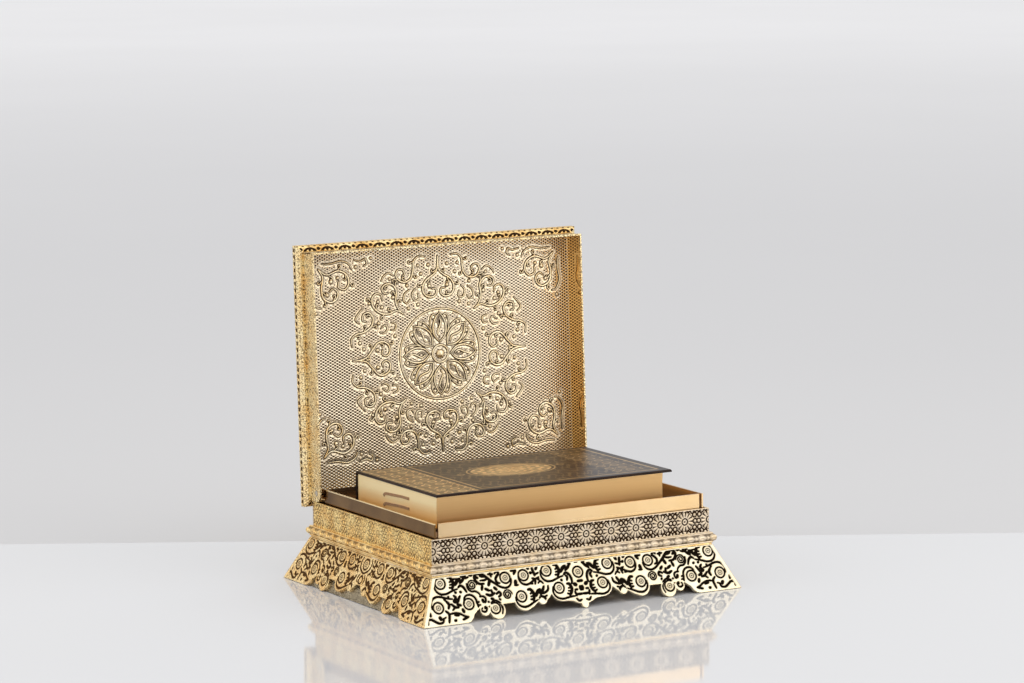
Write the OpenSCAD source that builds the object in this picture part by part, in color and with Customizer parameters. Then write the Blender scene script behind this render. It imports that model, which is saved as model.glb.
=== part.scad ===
// Gilt metal box on a flared scroll-work stand. The lid turns on a rod near the rear,
// and two arms on that rod raise a tray, so the book comes up as the lid opens.
// Millimetres. X runs left to right, Y front to back, Z up. The origin is on the
// table, below the middle of the box. The lid is drawn open and the tray raised.

/* [Box] */
// Outer width of the box walls, left to right
box_w = 285; // [270:1:320]
// Outer depth of the box walls, front to back
box_d = 229; // [215:1:260]
// Height of the patterned band above the moulding
band_h = 22.2; // [18:0.1:28]
// Thickness of the band walls
band_t = 2; // [1.5:0.1:3]
// Height of the raised pattern on band and stand
relief_h = 0.8; // [0.5:0.1:1.2]
// Width of the plain strips above and below the band pattern
band_strip = 1.6; // [1:0.1:2.5]
// Distance from one rosette of the band to the next
rosette_pitch = 25.9; // [22:0.1:32]
// Radius of a rosette
rosette_r = 8.2; // [6:0.1:9]
// Radius of the boss in a rosette
rosette_boss_r = 3; // [2:0.1:4]
// Height of the bead moulding at the foot of the band
moulding_h = 9.3; // [8:0.1:12]
// How far the bead moulding stands out from the band
moulding_out = 5; // [4:0.1:7]
// Thickness of the flat behind the bead
moulding_flat = 2.4; // [1.5:0.1:3]
// Thickness of the floor plate
floor_t = 1.5; // [1:0.1:3]

/* [Stand] */
// Height of the flared stand, up to the floor plate
stand_h = 39; // [34:0.5:48]
// How far the foot of the stand stands out from the box wall
flare = 21; // [14:0.5:28]
// How far the floor plate stands out from the box wall
floor_out = 1.5; // [1:0.1:3]
// Thickness of a stand panel under its relief
stand_t = 2.2; // [1.5:0.1:3.5]
// Width of the plain raised border of a stand panel
border_w = 2; // [1.2:0.1:3]
// Width of the plain border along a mitred corner
corner_border_w = 3.6; // [2.5:0.1:5]
// Width of the raised ring of a scroll
ring_w = 1.3; // [0.8:0.1:1.8]

/* [Liner] */
// How far the polished liner stands above the band
lip_rise = 13; // [11:0.5:16]
// Distance from the box wall's outer face to the liner
lip_inset = 4; // [3.5:0.1:6]
// Thickness of the liner plates
liner_t = 1.5; // [1:0.1:2.5]
// Width of the open slots at the liner's corners
corner_gap = 2.6; // [1.5:0.1:4]

/* [Lid] */
// Depth of the lid's hollow, from rim to panel
lid_depth = 24; // [22:0.5:30]
// Thickness of the lid's embossed panel
lid_panel_t = 2; // [1.5:0.1:3]
// Height of the raised work on the lid's panel
panel_relief_h = 0.6; // [0.4:0.1:1]
// Width of a raised line on the lid's panel
panel_line_w = 2.2; // [1.6:0.1:2.6]
// Distance from the panel's middle to the middle of its raised work
panel_shift = 9.9; // [6:0.1:12]
// Radius of the ring about the rosette on the lid's panel
panel_ring_r = 43; // [41:0.5:45]
// Thickness of the lid's walls
lid_wall_t = 1.5; // [1:0.1:2.5]
// Height of the cornice round the lid's panel
cornice_h = 9; // [7:0.5:12]
// How far the cornice stands out from the lid's walls
cornice_out = 5.8; // [4:0.1:8]
// How far the cornice stands above the panel
cornice_rise = 2; // [1.5:0.1:4]
// How far the cornice reaches in over the panel
cornice_lap = 4; // [3:0.5:8]
// Gap between the closed rim and the band
rim_gap = 0.3; // [0.3:0.1:0.8]
// Angle through which the lid opens
open_angle = 92; // [91:1:100]
// Distance from the rear face to the hinge rod's axis
pivot_inset = 8; // [7:0.1:10]
// Gap left between the open lid and the rear band
stop_gap = 0.2; // [0.2:0.1:0.6]

/* [Lift] */
// How far the tray rises as the lid opens
lift = 22; // [18:0.5:24]
// Diameter of the hinge rod
rod_d = 5; // [4:0.1:6]
// Running clearance on the radius of a pin, rod or post
fit_gap = 0.05; // [0.02:0.01:0.1]
// Distance of the lift arms from the middle
arm_x = 70; // [50:1:90]
// Thickness of a lift arm
arm_t = 4; // [3:0.5:6]
// Radius of a lift arm's hub and of the liner's ears
hub_r = 4.5; // [4.2:0.1:5]
// Diameter of the lift pins
pin_d = 4; // [3:0.1:4.5]
// Thickness of the slotted brackets on the tray
bracket_t = 2; // [1.5:0.1:3]
// Play above and below a lift pin in its slot
slot_play = 0.9; // [0.8:0.1:1.4]
// Metal above and below the slot of a bracket
jaw_h = 3; // [2:0.5:5]
// Thickness of the tray
tray_t = 3; // [2:0.1:3.4]
// Gap between the tray and the liner
tray_gap = 1.5; // [1:0.1:3]
// Diameter of the guide posts
post_d = 6; // [5:0.1:8]
// Distance of a guide post from the tray's left or right edge
post_inset_x = 8; // [7:0.5:12]
// Distance of a guide post from the tray's front or rear edge
post_inset_y = 24; // [21:0.5:40]
// Outer diameter of the guide bushes
bush_d = 10; // [9:0.1:13]
// Length of the guide bushes
bush_l = 5; // [3:0.5:5]

/* [Fittings] */
// Diameter of the floor screws
screw_d = 4; // [3:0.1:5]
// Diameter of a floor screw's head
screw_head_d = 7.5; // [6.5:0.1:9]
// Height of a floor screw's head
screw_head_h = 2.4; // [1.5:0.1:3]
// Length of a floor screw below the floor plate
screw_l = 16; // [10:0.5:24]
// Distance of a floor screw from the box wall's outer face
screw_inset = 12.5; // [11:0.5:12.5]
// Side of the square corner blocks, measured from the foot's corner
block_side = 41; // [39:0.5:42]
// Width of the bushes beside the liner's ears
pivot_bush_w = 3; // [2:0.5:5]
// Diameter of a guide post's foot
post_foot_d = 12; // [9:0.5:15]
// Height of a guide post's foot
post_foot_h = 1.2; // [0.8:0.1:1.4]
// Length of a bracket's foot on the tray
bracket_foot_l = 14; // [8:0.5:20]

/* [Book] */
// Length of the book's covers
book_l = 243; // [220:1:246]
// Depth of the book's covers, from spine to fore edge
book_w = 154; // [140:1:165]
// Thickness of the book
book_h = 32.5; // [28:0.5:33]
// Thickness of a cover
cover_t = 2.3; // [1.5:0.1:3]
// Thickness of the spine
spine_t = 3; // [2:0.1:4]
// How far the spine's back bulges
spine_bulge = 1.8; // [1:0.1:2]
// How far the cover overhangs the pages at the right end
overhang_right = 8; // [3:0.5:9]
// How far the cover overhangs the pages at the left end
overhang_left = 1.2; // [1:0.1:4]
// How far the cover overhangs the pages at the fore edge
overhang_front = 2.5; // [2:0.1:4]
// Hollow of the fore edge
fore_hollow = 0.8; // [0.4:0.1:2]
// How far the book lies in front of the middle of the tray
book_forward = 1.5; // [0:0.5:8]
// Width of a marker ribbon
ribbon_w = 2.6; // [2:0.1:4]
// Thickness of a marker ribbon
ribbon_t = 0.6; // [0.5:0.1:1]

/* [Hidden] */

$fn = 64;
eps = 0.01;

// Heights that follow from the sizes above
floor_top = stand_h + floor_t;
moulding_top = floor_top + moulding_h;
band_top = moulding_top + band_h;
lip_top = band_top + lip_rise;
rim_z = band_top + rim_gap;

// Hinge rod: the open lid's rear wall comes to rest on the rear band's top edge
half_w = box_w / 2;
half_d = box_d / 2;
pivot_y = half_d - pivot_inset;
pivot_z = band_top + pivot_inset * tan(open_angle / 2) + stop_gap;
rim_drop = pivot_z - rim_z;
corner_reach = rim_drop - 0.1;
rear_wall_rise = rim_drop - sqrt(max(0, corner_reach * corner_reach - pivot_inset * pivot_inset));

// Stand panels lean out, and their slope runs from the table to the floor plate's top
slope_run = flare - floor_out;
slope_l = sqrt(slope_run * slope_run + floor_top * floor_top);
slope_lean = atan(slope_run / floor_top);

// Liner plates
liner_x = half_w - lip_inset;
liner_front_y = -(half_d - lip_inset);
liner_back_y = pivot_y - rim_drop - 0.8;
liner_front_half = liner_x - liner_t - corner_gap;

// Lift: the arm's tip swings evenly above and below the rod
arm_l = lift / (2 * sin(open_angle / 2));
arm_reach = arm_l * cos(open_angle / 2);
tip_open_y = pivot_y - arm_reach;
tip_open_z = pivot_z + lift / 2;
slot_front_y = pivot_y - arm_l - pin_d / 2 - 0.4;
slot_back_y = tip_open_y + 1.4;
slot_half = pin_d / 2 + slot_play;
bracket_x = arm_x - arm_t / 2 - 2 - bracket_t;

// Tray, drawn raised
tray_half_w = liner_x - liner_t - tray_gap;
tray_front_y = liner_front_y + liner_t + tray_gap;
tray_back_y = liner_back_y - liner_t - tray_gap;
book_top_low = lip_top - 2;
tray_top = book_top_low - book_h + lift;
post_x = tray_half_w - post_inset_x;
post_front_y = tray_front_y + post_inset_y;
post_back_y = tray_back_y - post_inset_y;
post_top = tray_top - 1;

// Book
book_y = (tray_front_y + tray_back_y) / 2 - book_forward;
book_front_y = book_y - book_w / 2;
book_back_y = book_y + book_w / 2;
pages_left = -book_l / 2 + overhang_left;
pages_right = book_l / 2 - overhang_right;
pages_z = tray_top + cover_t;
pages_h = book_h - 2 * cover_t;

// Scallops of a stand panel: [distance from the foot's corner, height up the slope, radius]
corner_lobes = [[63.3, 9.4, 4.9], [75.5, 8, 7.8], [103.5, 15.4, 8.6]];
// Scallops about the middle of a long panel: [distance from the middle, height, radius]
middle_lobes = [[20, 20.5, 12.1], [41.5, 12.8, 4.6]];
pendant_r = 3.6;
pendant_s = 3.9;
foot_l = 43.5;
apron_s = 16.3;
// Curved lower edge between the scallops, from the foot's inner end on: [distance, height]
corner_edge = [[foot_l, 0], [47.5, 1.2], [50.3, 3.8], [52.2, 7.2], [56, 10.2], [60, 13], [97, 13],
               [110, apron_s]];
// The same on a long panel, from the cusp to the scallop beside it, and from the middle
// scallop to the pendant: [distance from the middle, height]
cusp_edge = [[31.2, apron_s], [34, 13.6], [37.5, 11.2], [45.1, 11.6], [51, 7.8], [58.5, 6.9], [60, apron_s]];
middle_edge = [[16, 9], [11.5, 8.2], [8, 7.4], [6, 6.9], [4.4, 4.6]];
// Scrolls, placed as the scallops are
corner_scrolls = [[27.7, 37.2, 4.9], [57, 32.5, 4], [91.2, 36.4, 4.8], [109.6, 36.1, 4.9], [20.5, 16.2, 4.9],
                  [51.1, 16, 4.6], [74.6, 10.2, 4.6], [90.4, 20.3, 3.6], [103.5, 17.2, 4.9]];
middle_scrolls = [[29.6, 37.2, 4.8], [20.6, 20.7, 4.8]];
centre_scroll = [0, 33.2, 4.5];
// Panels with a half length above this have the middle scallops and the pendant
long_panel = 140;

// Hearts on the lid's panel: two rings, whose tangents meet in a tip with a stem
heart_r = 7.6;
heart_half = 8.2;
heart_l = 18;
heart_stem = 9;
heart_bar_in = 0.15;
heart_tip = norm([heart_half, heart_l]);
heart_turn = atan2(heart_l, -heart_half) - acos(heart_r / heart_tip);
// Distances of the upright and lying hearts from the middle of the raised work
heart_up = 61.5;
heart_side = 60;
// Hearts towards the panel's corners: [across, up, turn]
corner_hearts = [[58.5, 59, 135], [107, 69, -45]];
// Curls beside the hearts: [across, up, radius]
panel_curls = [[38, 77, 5.5], [77, 38, 5.5]];
// Rosette in the middle: petals between two arcs
petal_count = 8;
petal_mid = 25;
petal_arc_r = 16;
petal_arc_off = 9.5;
petal_line_w = 0.75 * panel_line_w;
hub_ring_r = 8.5;

gold = [0.86, 0.74, 0.5];
pale_gold = [0.9, 0.82, 0.62];
mirror_gold = [0.95, 0.78, 0.45];
steel = [0.7, 0.68, 0.62];
wood = [0.5, 0.36, 0.22];
cover_brown = [0.16, 0.11, 0.09];
gilt_edge = [0.85, 0.68, 0.42];
ribbon_red = [0.6, 0.3, 0.1];

// Region in plan that belongs to one side, between two mitre lines
module mitre_wedge(half_l, dist, height) {
  reach = min(half_l, dist) / 2;
  linear_extrude(height)
    polygon([[-(half_l - reach), -(dist - reach)], [half_l - reach, -(dist - reach)],
             [half_l + reach, -(dist + reach)], [-(half_l + reach), -(dist + reach)]]);
}

// Bar of a profile drawn as (outward, up), running along a side and mitred at both ends
module mitred_bar(half_l, dist, out, z, height) {
  translate([0, 0, z])
    intersection() {
      translate([-(half_l + out), 0, 0])
        rotate([90, 0, 90])
          linear_extrude(2 * (half_l + out))
            translate([-dist, 0])
              mirror([1, 0])
                children();
      translate([0, 0, -eps])
        mitre_wedge(half_l, dist, height + 2 * eps);
    }
}

// Outline of a stand panel in its own plane, drawn in by inset from every free edge
module skirt_outline(half_foot, inset) {
  top_half = half_foot - slope_run;
  edge = inset > 0 ? corner_border_w : 0;
  end_low = half_foot - edge - slope_run * (apron_s + inset) / slope_l;
  end_foot = half_foot - edge - slope_run * inset / slope_l;
  low = apron_s + inset;
  polygon([[-end_low, low], [end_low, low],
           [top_half - edge, slope_l - inset], [-(top_half - edge), slope_l - inset]]);
  for (side = [0, 1])
    mirror([side, 0])
      polygon(concat([[end_low, low + eps], [end_foot, inset]],
                     [for (p = corner_edge) [half_foot - p[0] + (p[1] < low / 2 ? inset : 0), p[1] + inset]],
                     [[half_foot - corner_edge[len(corner_edge) - 1][0], low + eps]]));
  for (side = [0, 1])
    mirror([side, 0]) {
      for (c = corner_lobes)
        translate([half_foot - c[0], c[1]])
          circle(r = c[2] - inset);
      if (half_foot > long_panel)
        for (c = middle_lobes)
          translate([c[0], c[1]])
            circle(r = c[2] - inset);
    }
  if (half_foot > long_panel) {
    translate([0, pendant_s])
      circle(r = pendant_r - inset / 2);
    for (side = [0, 1])
      mirror([side, 0]) {
        polygon([for (p = cusp_edge) [p[0], p[1] + inset + (p[1] == apron_s ? eps : 0)]]);
        polygon(concat([[-eps, low + eps], [middle_edge[0][0], low + eps]],
                       [for (p = middle_edge) [p[0], p[1] + inset]],
                       [[-eps, middle_edge[len(middle_edge) - 1][1] + inset]]));
      }
  }
}

// Raised work of a stand panel: the border and the rings and eyes of the scrolls
module skirt_relief(half_foot) {
  difference() {
    skirt_outline(half_foot, 0);
    skirt_outline(half_foot, border_w);
  }
  for (side = [0, 1])
    mirror([side, 0]) {
      for (c = corner_scrolls)
        translate([half_foot - c[0], c[1]])
          scroll(c[2]);
      if (half_foot > long_panel)
        for (c = middle_scrolls)
          translate([c[0], c[1]])
            scroll(c[2]);
    }
  if (half_foot > long_panel)
    translate([centre_scroll[0], centre_scroll[1]])
      scroll(centre_scroll[2]);
}

module ring(r, w) {
  difference() {
    circle(r = r);
    circle(r = r - w);
  }
}

module scroll(r) {
  ring(r, ring_w);
  circle(r = r / 2);
}

// One side of the flared stand, cut flat on the table and under the floor plate
module skirt(half_l, dist) {
  half_foot = half_l + flare;
  color(pale_gold)
    intersection() {
      translate([0, -(dist + flare), 0])
        rotate([90 - slope_lean, 0, 0])
          union() {
            translate([0, 0, -(relief_h + stand_t)])
              linear_extrude(stand_t)
                skirt_plate(half_foot);
            translate([0, 0, -relief_h - eps])
              linear_extrude(relief_h + eps)
                skirt_relief(half_foot);
          }
      mitre_wedge(half_l, dist, stand_h);
    }
}

// Plate of a stand panel, run past the table and the floor plate before it is cut
module skirt_plate(half_foot) {
  skirt_outline(half_foot, 0);
  for (side = [0, 1])
    mirror([side, 0])
      translate([half_foot - foot_l, -2 * stand_t])
        square([foot_l, 2 * stand_t + eps]);
  translate([-half_foot, apron_s])
    square([2 * half_foot, slope_l - apron_s]);
}

module on_side(turn) {
  rotate([0, 0, turn])
    children();
}

module skirt_front() { skirt(half_w, half_d); }
module skirt_back() { on_side(180) skirt(half_w, half_d); }
module skirt_left() { on_side(-90) skirt(half_d, half_w); }
module skirt_right() { on_side(90) skirt(half_d, half_w); }

// Inner space of the stand, as a frustum that the corner blocks fill at the corners
module stand_inside() {
  wall = (relief_h + stand_t) / cos(slope_lean) + 0.05;
  low_x = half_w + flare - wall;
  low_y = half_d + flare - wall;
  drop = slope_run * stand_h / floor_top;
  polyhedron(
    points = [[-low_x, -low_y, 0], [low_x, -low_y, 0], [low_x, low_y, 0], [-low_x, low_y, 0],
              [-low_x + drop, -low_y + drop, stand_h], [low_x - drop, -low_y + drop, stand_h],
              [low_x - drop, low_y - drop, stand_h], [-low_x + drop, low_y - drop, stand_h]],
    faces = [[0, 1, 2, 3], [4, 7, 6, 5], [0, 4, 5, 1], [1, 5, 6, 2], [2, 6, 7, 3], [3, 7, 4, 0]]);
}

module at_corners(x, y0, y1) {
  for (sx = [-1, 1])
    for (y = [y0, y1])
      translate([sx * x, y, 0])
        children();
}

module corner_blocks() {
  corner_x = half_w + flare;
  corner_y = half_d + flare;
  color(wood)
    difference() {
      intersection() {
        stand_inside();
        union()
          for (sx = [-1, 1])
            for (sy = [-1, 1])
              translate([sx * (corner_x - block_side / 2), sy * (corner_y - block_side / 2), stand_h / 2])
                cube([block_side, block_side, stand_h], center = true);
      }
      at_corners(half_w - screw_inset, -half_d + screw_inset, half_d - screw_inset)
        translate([0, 0, stand_h - screw_l - 1])
          cylinder(d = screw_d + 2 * fit_gap, h = screw_l + 2);
    }
}

module floor_screws() {
  color(steel)
    at_corners(half_w - screw_inset, -half_d + screw_inset, half_d - screw_inset) {
      translate([0, 0, floor_top])
        cylinder(d = screw_head_d, h = screw_head_h);
      translate([0, 0, stand_h - screw_l])
        cylinder(d = screw_d, h = screw_l + floor_t + eps);
    }
}

module floor_plate() {
  color(gold)
    difference() {
      translate([-half_w - floor_out, -half_d - floor_out, stand_h])
        cube([box_w + 2 * floor_out, box_d + 2 * floor_out, floor_t]);
      at_corners(half_w - screw_inset, -half_d + screw_inset, half_d - screw_inset)
        translate([0, 0, stand_h - 1])
          cylinder(d = screw_d + 2 * fit_gap, h = floor_t + 2);
    }
}

// Moulding profile: a flat with a round bead on it
module moulding_profile() {
  square([moulding_flat, moulding_h]);
  bead_r = moulding_h / 2 - 1;
  intersection() {
    translate([moulding_out - bead_r, moulding_h / 2])
      circle(r = bead_r);
    square([moulding_out, moulding_h]);
  }
}

module moulding(half_l, dist) {
  color(gold)
    mitred_bar(half_l, dist, moulding_out, floor_top, moulding_h)
      moulding_profile();
}

module moulding_front() { moulding(half_w, half_d); }
module moulding_back() { on_side(180) moulding(half_w, half_d); }
module moulding_left() { on_side(-90) moulding(half_d, half_w); }
module moulding_right() { on_side(90) moulding(half_d, half_w); }

// Wall of the box with plain strips and a row of rosettes raised on it
module band(half_l, dist, end_cut) {
  count = max(1, floor((2 * half_l - rosette_pitch / 2) / rosette_pitch));
  wall_l = 2 * (half_l - end_cut);
  color(gold)
    translate([0, -dist, 0]) {
      translate([-wall_l / 2, relief_h, floor_top])
        cube([wall_l, band_t - relief_h, moulding_h + band_h]);
      for (z = [floor_top, band_top - band_strip])
        translate([-wall_l / 2, 0, z])
          cube([wall_l, relief_h + eps, z == floor_top ? moulding_h + band_strip : band_strip]);
      for (i = [0:count - 1])
        translate([(i - (count - 1) / 2) * rosette_pitch, relief_h + eps, moulding_top + band_h / 2])
          rotate([90, 0, 0]) {
            cylinder(r = rosette_r, h = relief_h / 2 + eps);
            cylinder(r = rosette_boss_r, h = relief_h + eps);
          }
    }
}

module band_front() { band(half_w, half_d, 0); }
module band_back() { on_side(180) band(half_w, half_d, 0); }
module band_left() { on_side(-90) band(half_d, half_w, band_t); }
module band_right() { on_side(90) band(half_d, half_w, band_t); }

module liner_front() {
  color(mirror_gold)
    translate([-liner_front_half, liner_front_y, floor_top])
      cube([2 * liner_front_half, liner_t, lip_top - floor_top]);
}

// Rear liner plate, notched where the lift arms and brackets pass
module liner_back() {
  notch_low = bracket_x - 1.5;
  notch_w = arm_x + arm_t / 2 + 1.5 - notch_low;
  notch_z = tip_open_z - lift - slot_half - jaw_h - 1.5;
  color(mirror_gold)
    difference() {
      translate([-liner_front_half, liner_back_y - liner_t, floor_top])
        cube([2 * liner_front_half, liner_t, lip_top - floor_top]);
      for (side = [0, 1])
        mirror([side, 0, 0])
          translate([notch_low, liner_back_y - liner_t - 1, notch_z])
            cube([notch_w, liner_t + 2, lip_top - notch_z + 1]);
    }
}

// Side liner plate in its own plane, with the ear that carries the hinge rod
module liner_side_outline() {
  translate([liner_front_y, floor_top])
    square([liner_back_y - liner_front_y, lip_top - floor_top]);
  translate([liner_back_y - eps, pivot_z - hub_r])
    square([pivot_y - liner_back_y + eps, min(lip_top, pivot_z + hub_r) - pivot_z + hub_r]);
  translate([pivot_y, pivot_z])
    circle(r = hub_r);
}

module liner_side(sx) {
  color(mirror_gold)
    difference() {
      translate([sx > 0 ? liner_x - liner_t : -liner_x, 0, 0])
        rotate([90, 0, 90])
          linear_extrude(liner_t)
            liner_side_outline();
      rod_hole(rod_d + 2 * fit_gap);
    }
}

module rod_hole(d) {
  translate([-box_w, pivot_y, pivot_z])
    rotate([0, 90, 0])
      cylinder(d = d, h = 2 * box_w);
}

module liner_left() { liner_side(-1); }
module liner_right() { liner_side(1); }

// Rings on the inner faces of the liner's ears, in which the hinge rod turns
module pivot_bushes() {
  color(steel)
    difference() {
      for (x = [-liner_x + liner_t, liner_x - liner_t - pivot_bush_w])
        translate([x, pivot_y, pivot_z])
          rotate([0, 90, 0])
            cylinder(r = hub_r, h = pivot_bush_w);
      rod_hole(rod_d + 2 * fit_gap);
    }
}

module guide_posts() {
  color(steel)
    at_corners(post_x, post_front_y, post_back_y) {
      translate([0, 0, floor_top])
        cylinder(d = post_foot_d, h = post_foot_h);
      translate([0, 0, floor_top])
        cylinder(d = post_d, h = post_top - floor_top);
    }
}

// Turns what is drawn closed on the box into the open lid
module lid_pose() {
  translate([0, pivot_y, pivot_z])
    rotate([-open_angle, 0, 0])
      translate([0, -pivot_y, -pivot_z])
        children();
}

// Heart with its tip up, drawn about the line between its rings
module heart() {
  w = panel_line_w;
  for (side = [0, 1])
    mirror([side, 0])
      translate([heart_half, 0]) {
        ring(heart_r + w / 2, w);
        // a little narrower than the ring, so that it leaves the ring at an angle
        rotate(heart_turn)
          translate([heart_r - w / 2 + heart_bar_in, 0])
            square([w - 2 * heart_bar_in, sqrt(heart_tip * heart_tip - heart_r * heart_r)]);
      }
  translate([-w / 2, heart_l - w])
    square([w, heart_stem + w]);
}

// Petal between two arcs that meet at its ends
module petal(inset) {
  intersection_for(side = [-1, 1])
    translate([side * petal_arc_off, 0])
      circle(r = petal_arc_r - inset);
}

// Raised work of the lid's panel, the same on all four quarters
module panel_work() {
  for (turn = [0, 180]) {
    rotate(turn)
      translate([0, heart_up])
        heart();
    rotate(turn - 90)
      translate([0, heart_side])
        heart();
  }
  for (across = [0, 1], up = [0, 1])
    mirror([across, 0])
      mirror([0, up]) {
        for (c = corner_hearts)
          translate([c[0], c[1]])
            rotate(c[2])
              heart();
        for (c = panel_curls)
          translate([c[0], c[1]]) {
            ring(c[2], panel_line_w);
            circle(r = c[2] / 3);
          }
      }
  ring(panel_ring_r, panel_line_w);
  ring(hub_ring_r, panel_line_w);
  for (i = [0:petal_count - 1])
    rotate(360 * i / petal_count)
      translate([0, petal_mid])
        difference() {
          petal(0);
          petal(petal_line_w);
        }
}

module lid_panel() {
  color(pale_gold)
    lid_pose() {
      translate([-half_w, -half_d, rim_z + lid_depth])
        cube([box_w, box_d, lid_panel_t]);
      translate([0, -panel_shift, rim_z + lid_depth - panel_relief_h])
        linear_extrude(panel_relief_h + eps)
          panel_work();
    }
}

module lid_wall_front() {
  color(gold)
    lid_pose()
      translate([-half_w, -half_d, rim_z])
        cube([box_w, lid_wall_t, lid_depth]);
}

// Rear wall, cut short so that its edge clears the band as the lid swings
module lid_wall_back() {
  color(gold)
    lid_pose()
      translate([-half_w + lid_wall_t, half_d - lid_wall_t, rim_z + rear_wall_rise])
        cube([box_w - 2 * lid_wall_t, lid_wall_t, lid_depth - rear_wall_rise]);
}

// Side wall in its own plane, rounded about the rod at its lower rear corner
module lid_side_outline() {
  difference() {
    translate([-half_d + lid_wall_t, rim_z])
      square([box_d - lid_wall_t, lid_depth]);
    difference() {
      translate([pivot_y, rim_z - 1])
        square([pivot_inset + 1, rim_drop + 1]);
      translate([pivot_y, pivot_z])
        circle(r = corner_reach);
    }
  }
}

module lid_side(sx) {
  color(gold)
    lid_pose()
      difference() {
        translate([sx > 0 ? half_w - lid_wall_t : -half_w, 0, 0])
          rotate([90, 0, 90])
            linear_extrude(lid_wall_t)
              lid_side_outline();
        rod_hole(rod_d + 2 * fit_gap);
      }
}

module lid_wall_left() { lid_side(-1); }
module lid_wall_right() { lid_side(1); }

// Cornice profile: a round nose below, and a lip that laps over the panel
module cornice_profile() {
  nose_r = cornice_out / 2;
  step = cornice_h - cornice_rise;
  square([cornice_out - nose_r, cornice_h]);
  translate([cornice_out - nose_r, nose_r + 1])
    circle(r = nose_r);
  translate([cornice_out - nose_r - eps, step - 0.5])
    square([nose_r + eps, cornice_rise + 0.5]);
  translate([-cornice_lap, step])
    square([cornice_lap + eps, cornice_rise]);
}

module cornice(half_l, dist) {
  step = cornice_h - cornice_rise;
  color(gold)
    mitred_bar(half_l, dist, cornice_out, rim_z + lid_depth + lid_panel_t - step, cornice_h)
      cornice_profile();
}

module cornice_front() { lid_pose() cornice(half_w, half_d); }
module cornice_back() { lid_pose() on_side(180) cornice(half_w, half_d); }
module cornice_left() { lid_pose() on_side(-90) cornice(half_d, half_w); }
module cornice_right() { lid_pose() on_side(90) cornice(half_d, half_w); }

module hinge_rod() {
  color(steel)
    translate([-half_w, pivot_y, pivot_z])
      rotate([0, 90, 0])
        cylinder(d = rod_d, h = box_w);
}

// Lift arm fixed on the rod, drawn where it points with the lid open
module lift_arm(sx) {
  tip_r = pin_d / 2 + 2;
  color(steel)
    translate([sx * arm_x - arm_t / 2, pivot_y, pivot_z])
      rotate([-open_angle / 2, 0, 0])
        difference() {
          rotate([90, 0, 90])
            linear_extrude(arm_t) {
              circle(r = hub_r);
              translate([-arm_l, 0])
                circle(r = tip_r);
              translate([-arm_l, -tip_r + 1])
                square([arm_l, 2 * (tip_r - 1)]);
            }
          translate([-1, 0, 0])
            rotate([0, 90, 0])
              cylinder(d = rod_d + 2 * fit_gap, h = arm_t + 2);
          translate([-1, -arm_l, 0])
            rotate([0, 90, 0])
              cylinder(d = pin_d + 2 * fit_gap, h = arm_t + 2);
        }
}

module lift_arm_left() { lift_arm(-1); }
module lift_arm_right() { lift_arm(1); }

module lift_pins() {
  inner = bracket_x - 1;
  color(steel)
    for (side = [0, 1])
      mirror([side, 0, 0])
        translate([inner, tip_open_y, tip_open_z])
          rotate([0, 90, 0])
            cylinder(d = pin_d, h = arm_x + arm_t / 2 - inner);
}

module tray_plate() {
  color(mirror_gold)
    difference() {
      translate([-tray_half_w, tray_front_y, tray_top - tray_t])
        cube([2 * tray_half_w, tray_back_y - tray_front_y, tray_t]);
      at_corners(post_x, post_front_y, post_back_y)
        translate([0, 0, tray_top - tray_t - 1])
          cylinder(d = post_d + 2 * fit_gap, h = tray_t + 2);
    }
}

module guide_bushes() {
  color(steel)
    at_corners(post_x, post_front_y, post_back_y)
      translate([0, 0, tray_top - tray_t - bush_l])
        difference() {
          cylinder(d = bush_d, h = bush_l);
          translate([0, 0, -1])
            cylinder(d = post_d + 2 * fit_gap, h = bush_l + 2);
        }
}

// Bracket on the tray's rear edge: a foot, an upright and a slot that the lift pin rides in
module lift_bracket(sx) {
  foot_y = slot_front_y - 4;
  color(steel)
    mirror([sx > 0 ? 0 : 1, 0, 0]) {
      translate([bracket_x, 0, 0])
        rotate([90, 0, 90])
          linear_extrude(bracket_t)
            difference() {
              union() {
                translate([foot_y, tray_top])
                  square([tray_back_y - foot_y, tip_open_z - tray_top + slot_half + jaw_h]);
                translate([foot_y, tip_open_z - slot_half - jaw_h])
                  square([slot_back_y - foot_y, 2 * (slot_half + jaw_h)]);
              }
              translate([slot_front_y, tip_open_z - slot_half])
                square([slot_back_y - slot_front_y + 1, 2 * slot_half]);
            }
      translate([bracket_x - bracket_foot_l, foot_y, tray_top])
        cube([bracket_foot_l + eps, tray_back_y - foot_y, bracket_t]);
    }
}

module lift_bracket_left() { lift_bracket(-1); }
module lift_bracket_right() { lift_bracket(1); }

module cover(z) {
  color(cover_brown)
    translate([-book_l / 2, book_front_y, z])
      cube([book_l, book_w - spine_t, cover_t]);
}

module book_lower_cover() { cover(tray_top); }
module book_upper_cover() { cover(tray_top + book_h - cover_t); }

// Spine with a rounded back, behind the covers and the pages
module book_spine() {
  bulge_r = (book_h * book_h / 4 + spine_bulge * spine_bulge) / (2 * spine_bulge);
  color(cover_brown)
    intersection() {
      translate([-book_l / 2, book_back_y - spine_t, tray_top])
        cube([book_l, spine_t + 1, book_h]);
      translate([-book_l / 2 - 1, book_back_y - bulge_r, tray_top + book_h / 2])
        rotate([0, 90, 0])
          cylinder(r = bulge_r, h = book_l + 2, $fn = 128);
    }
}

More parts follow.
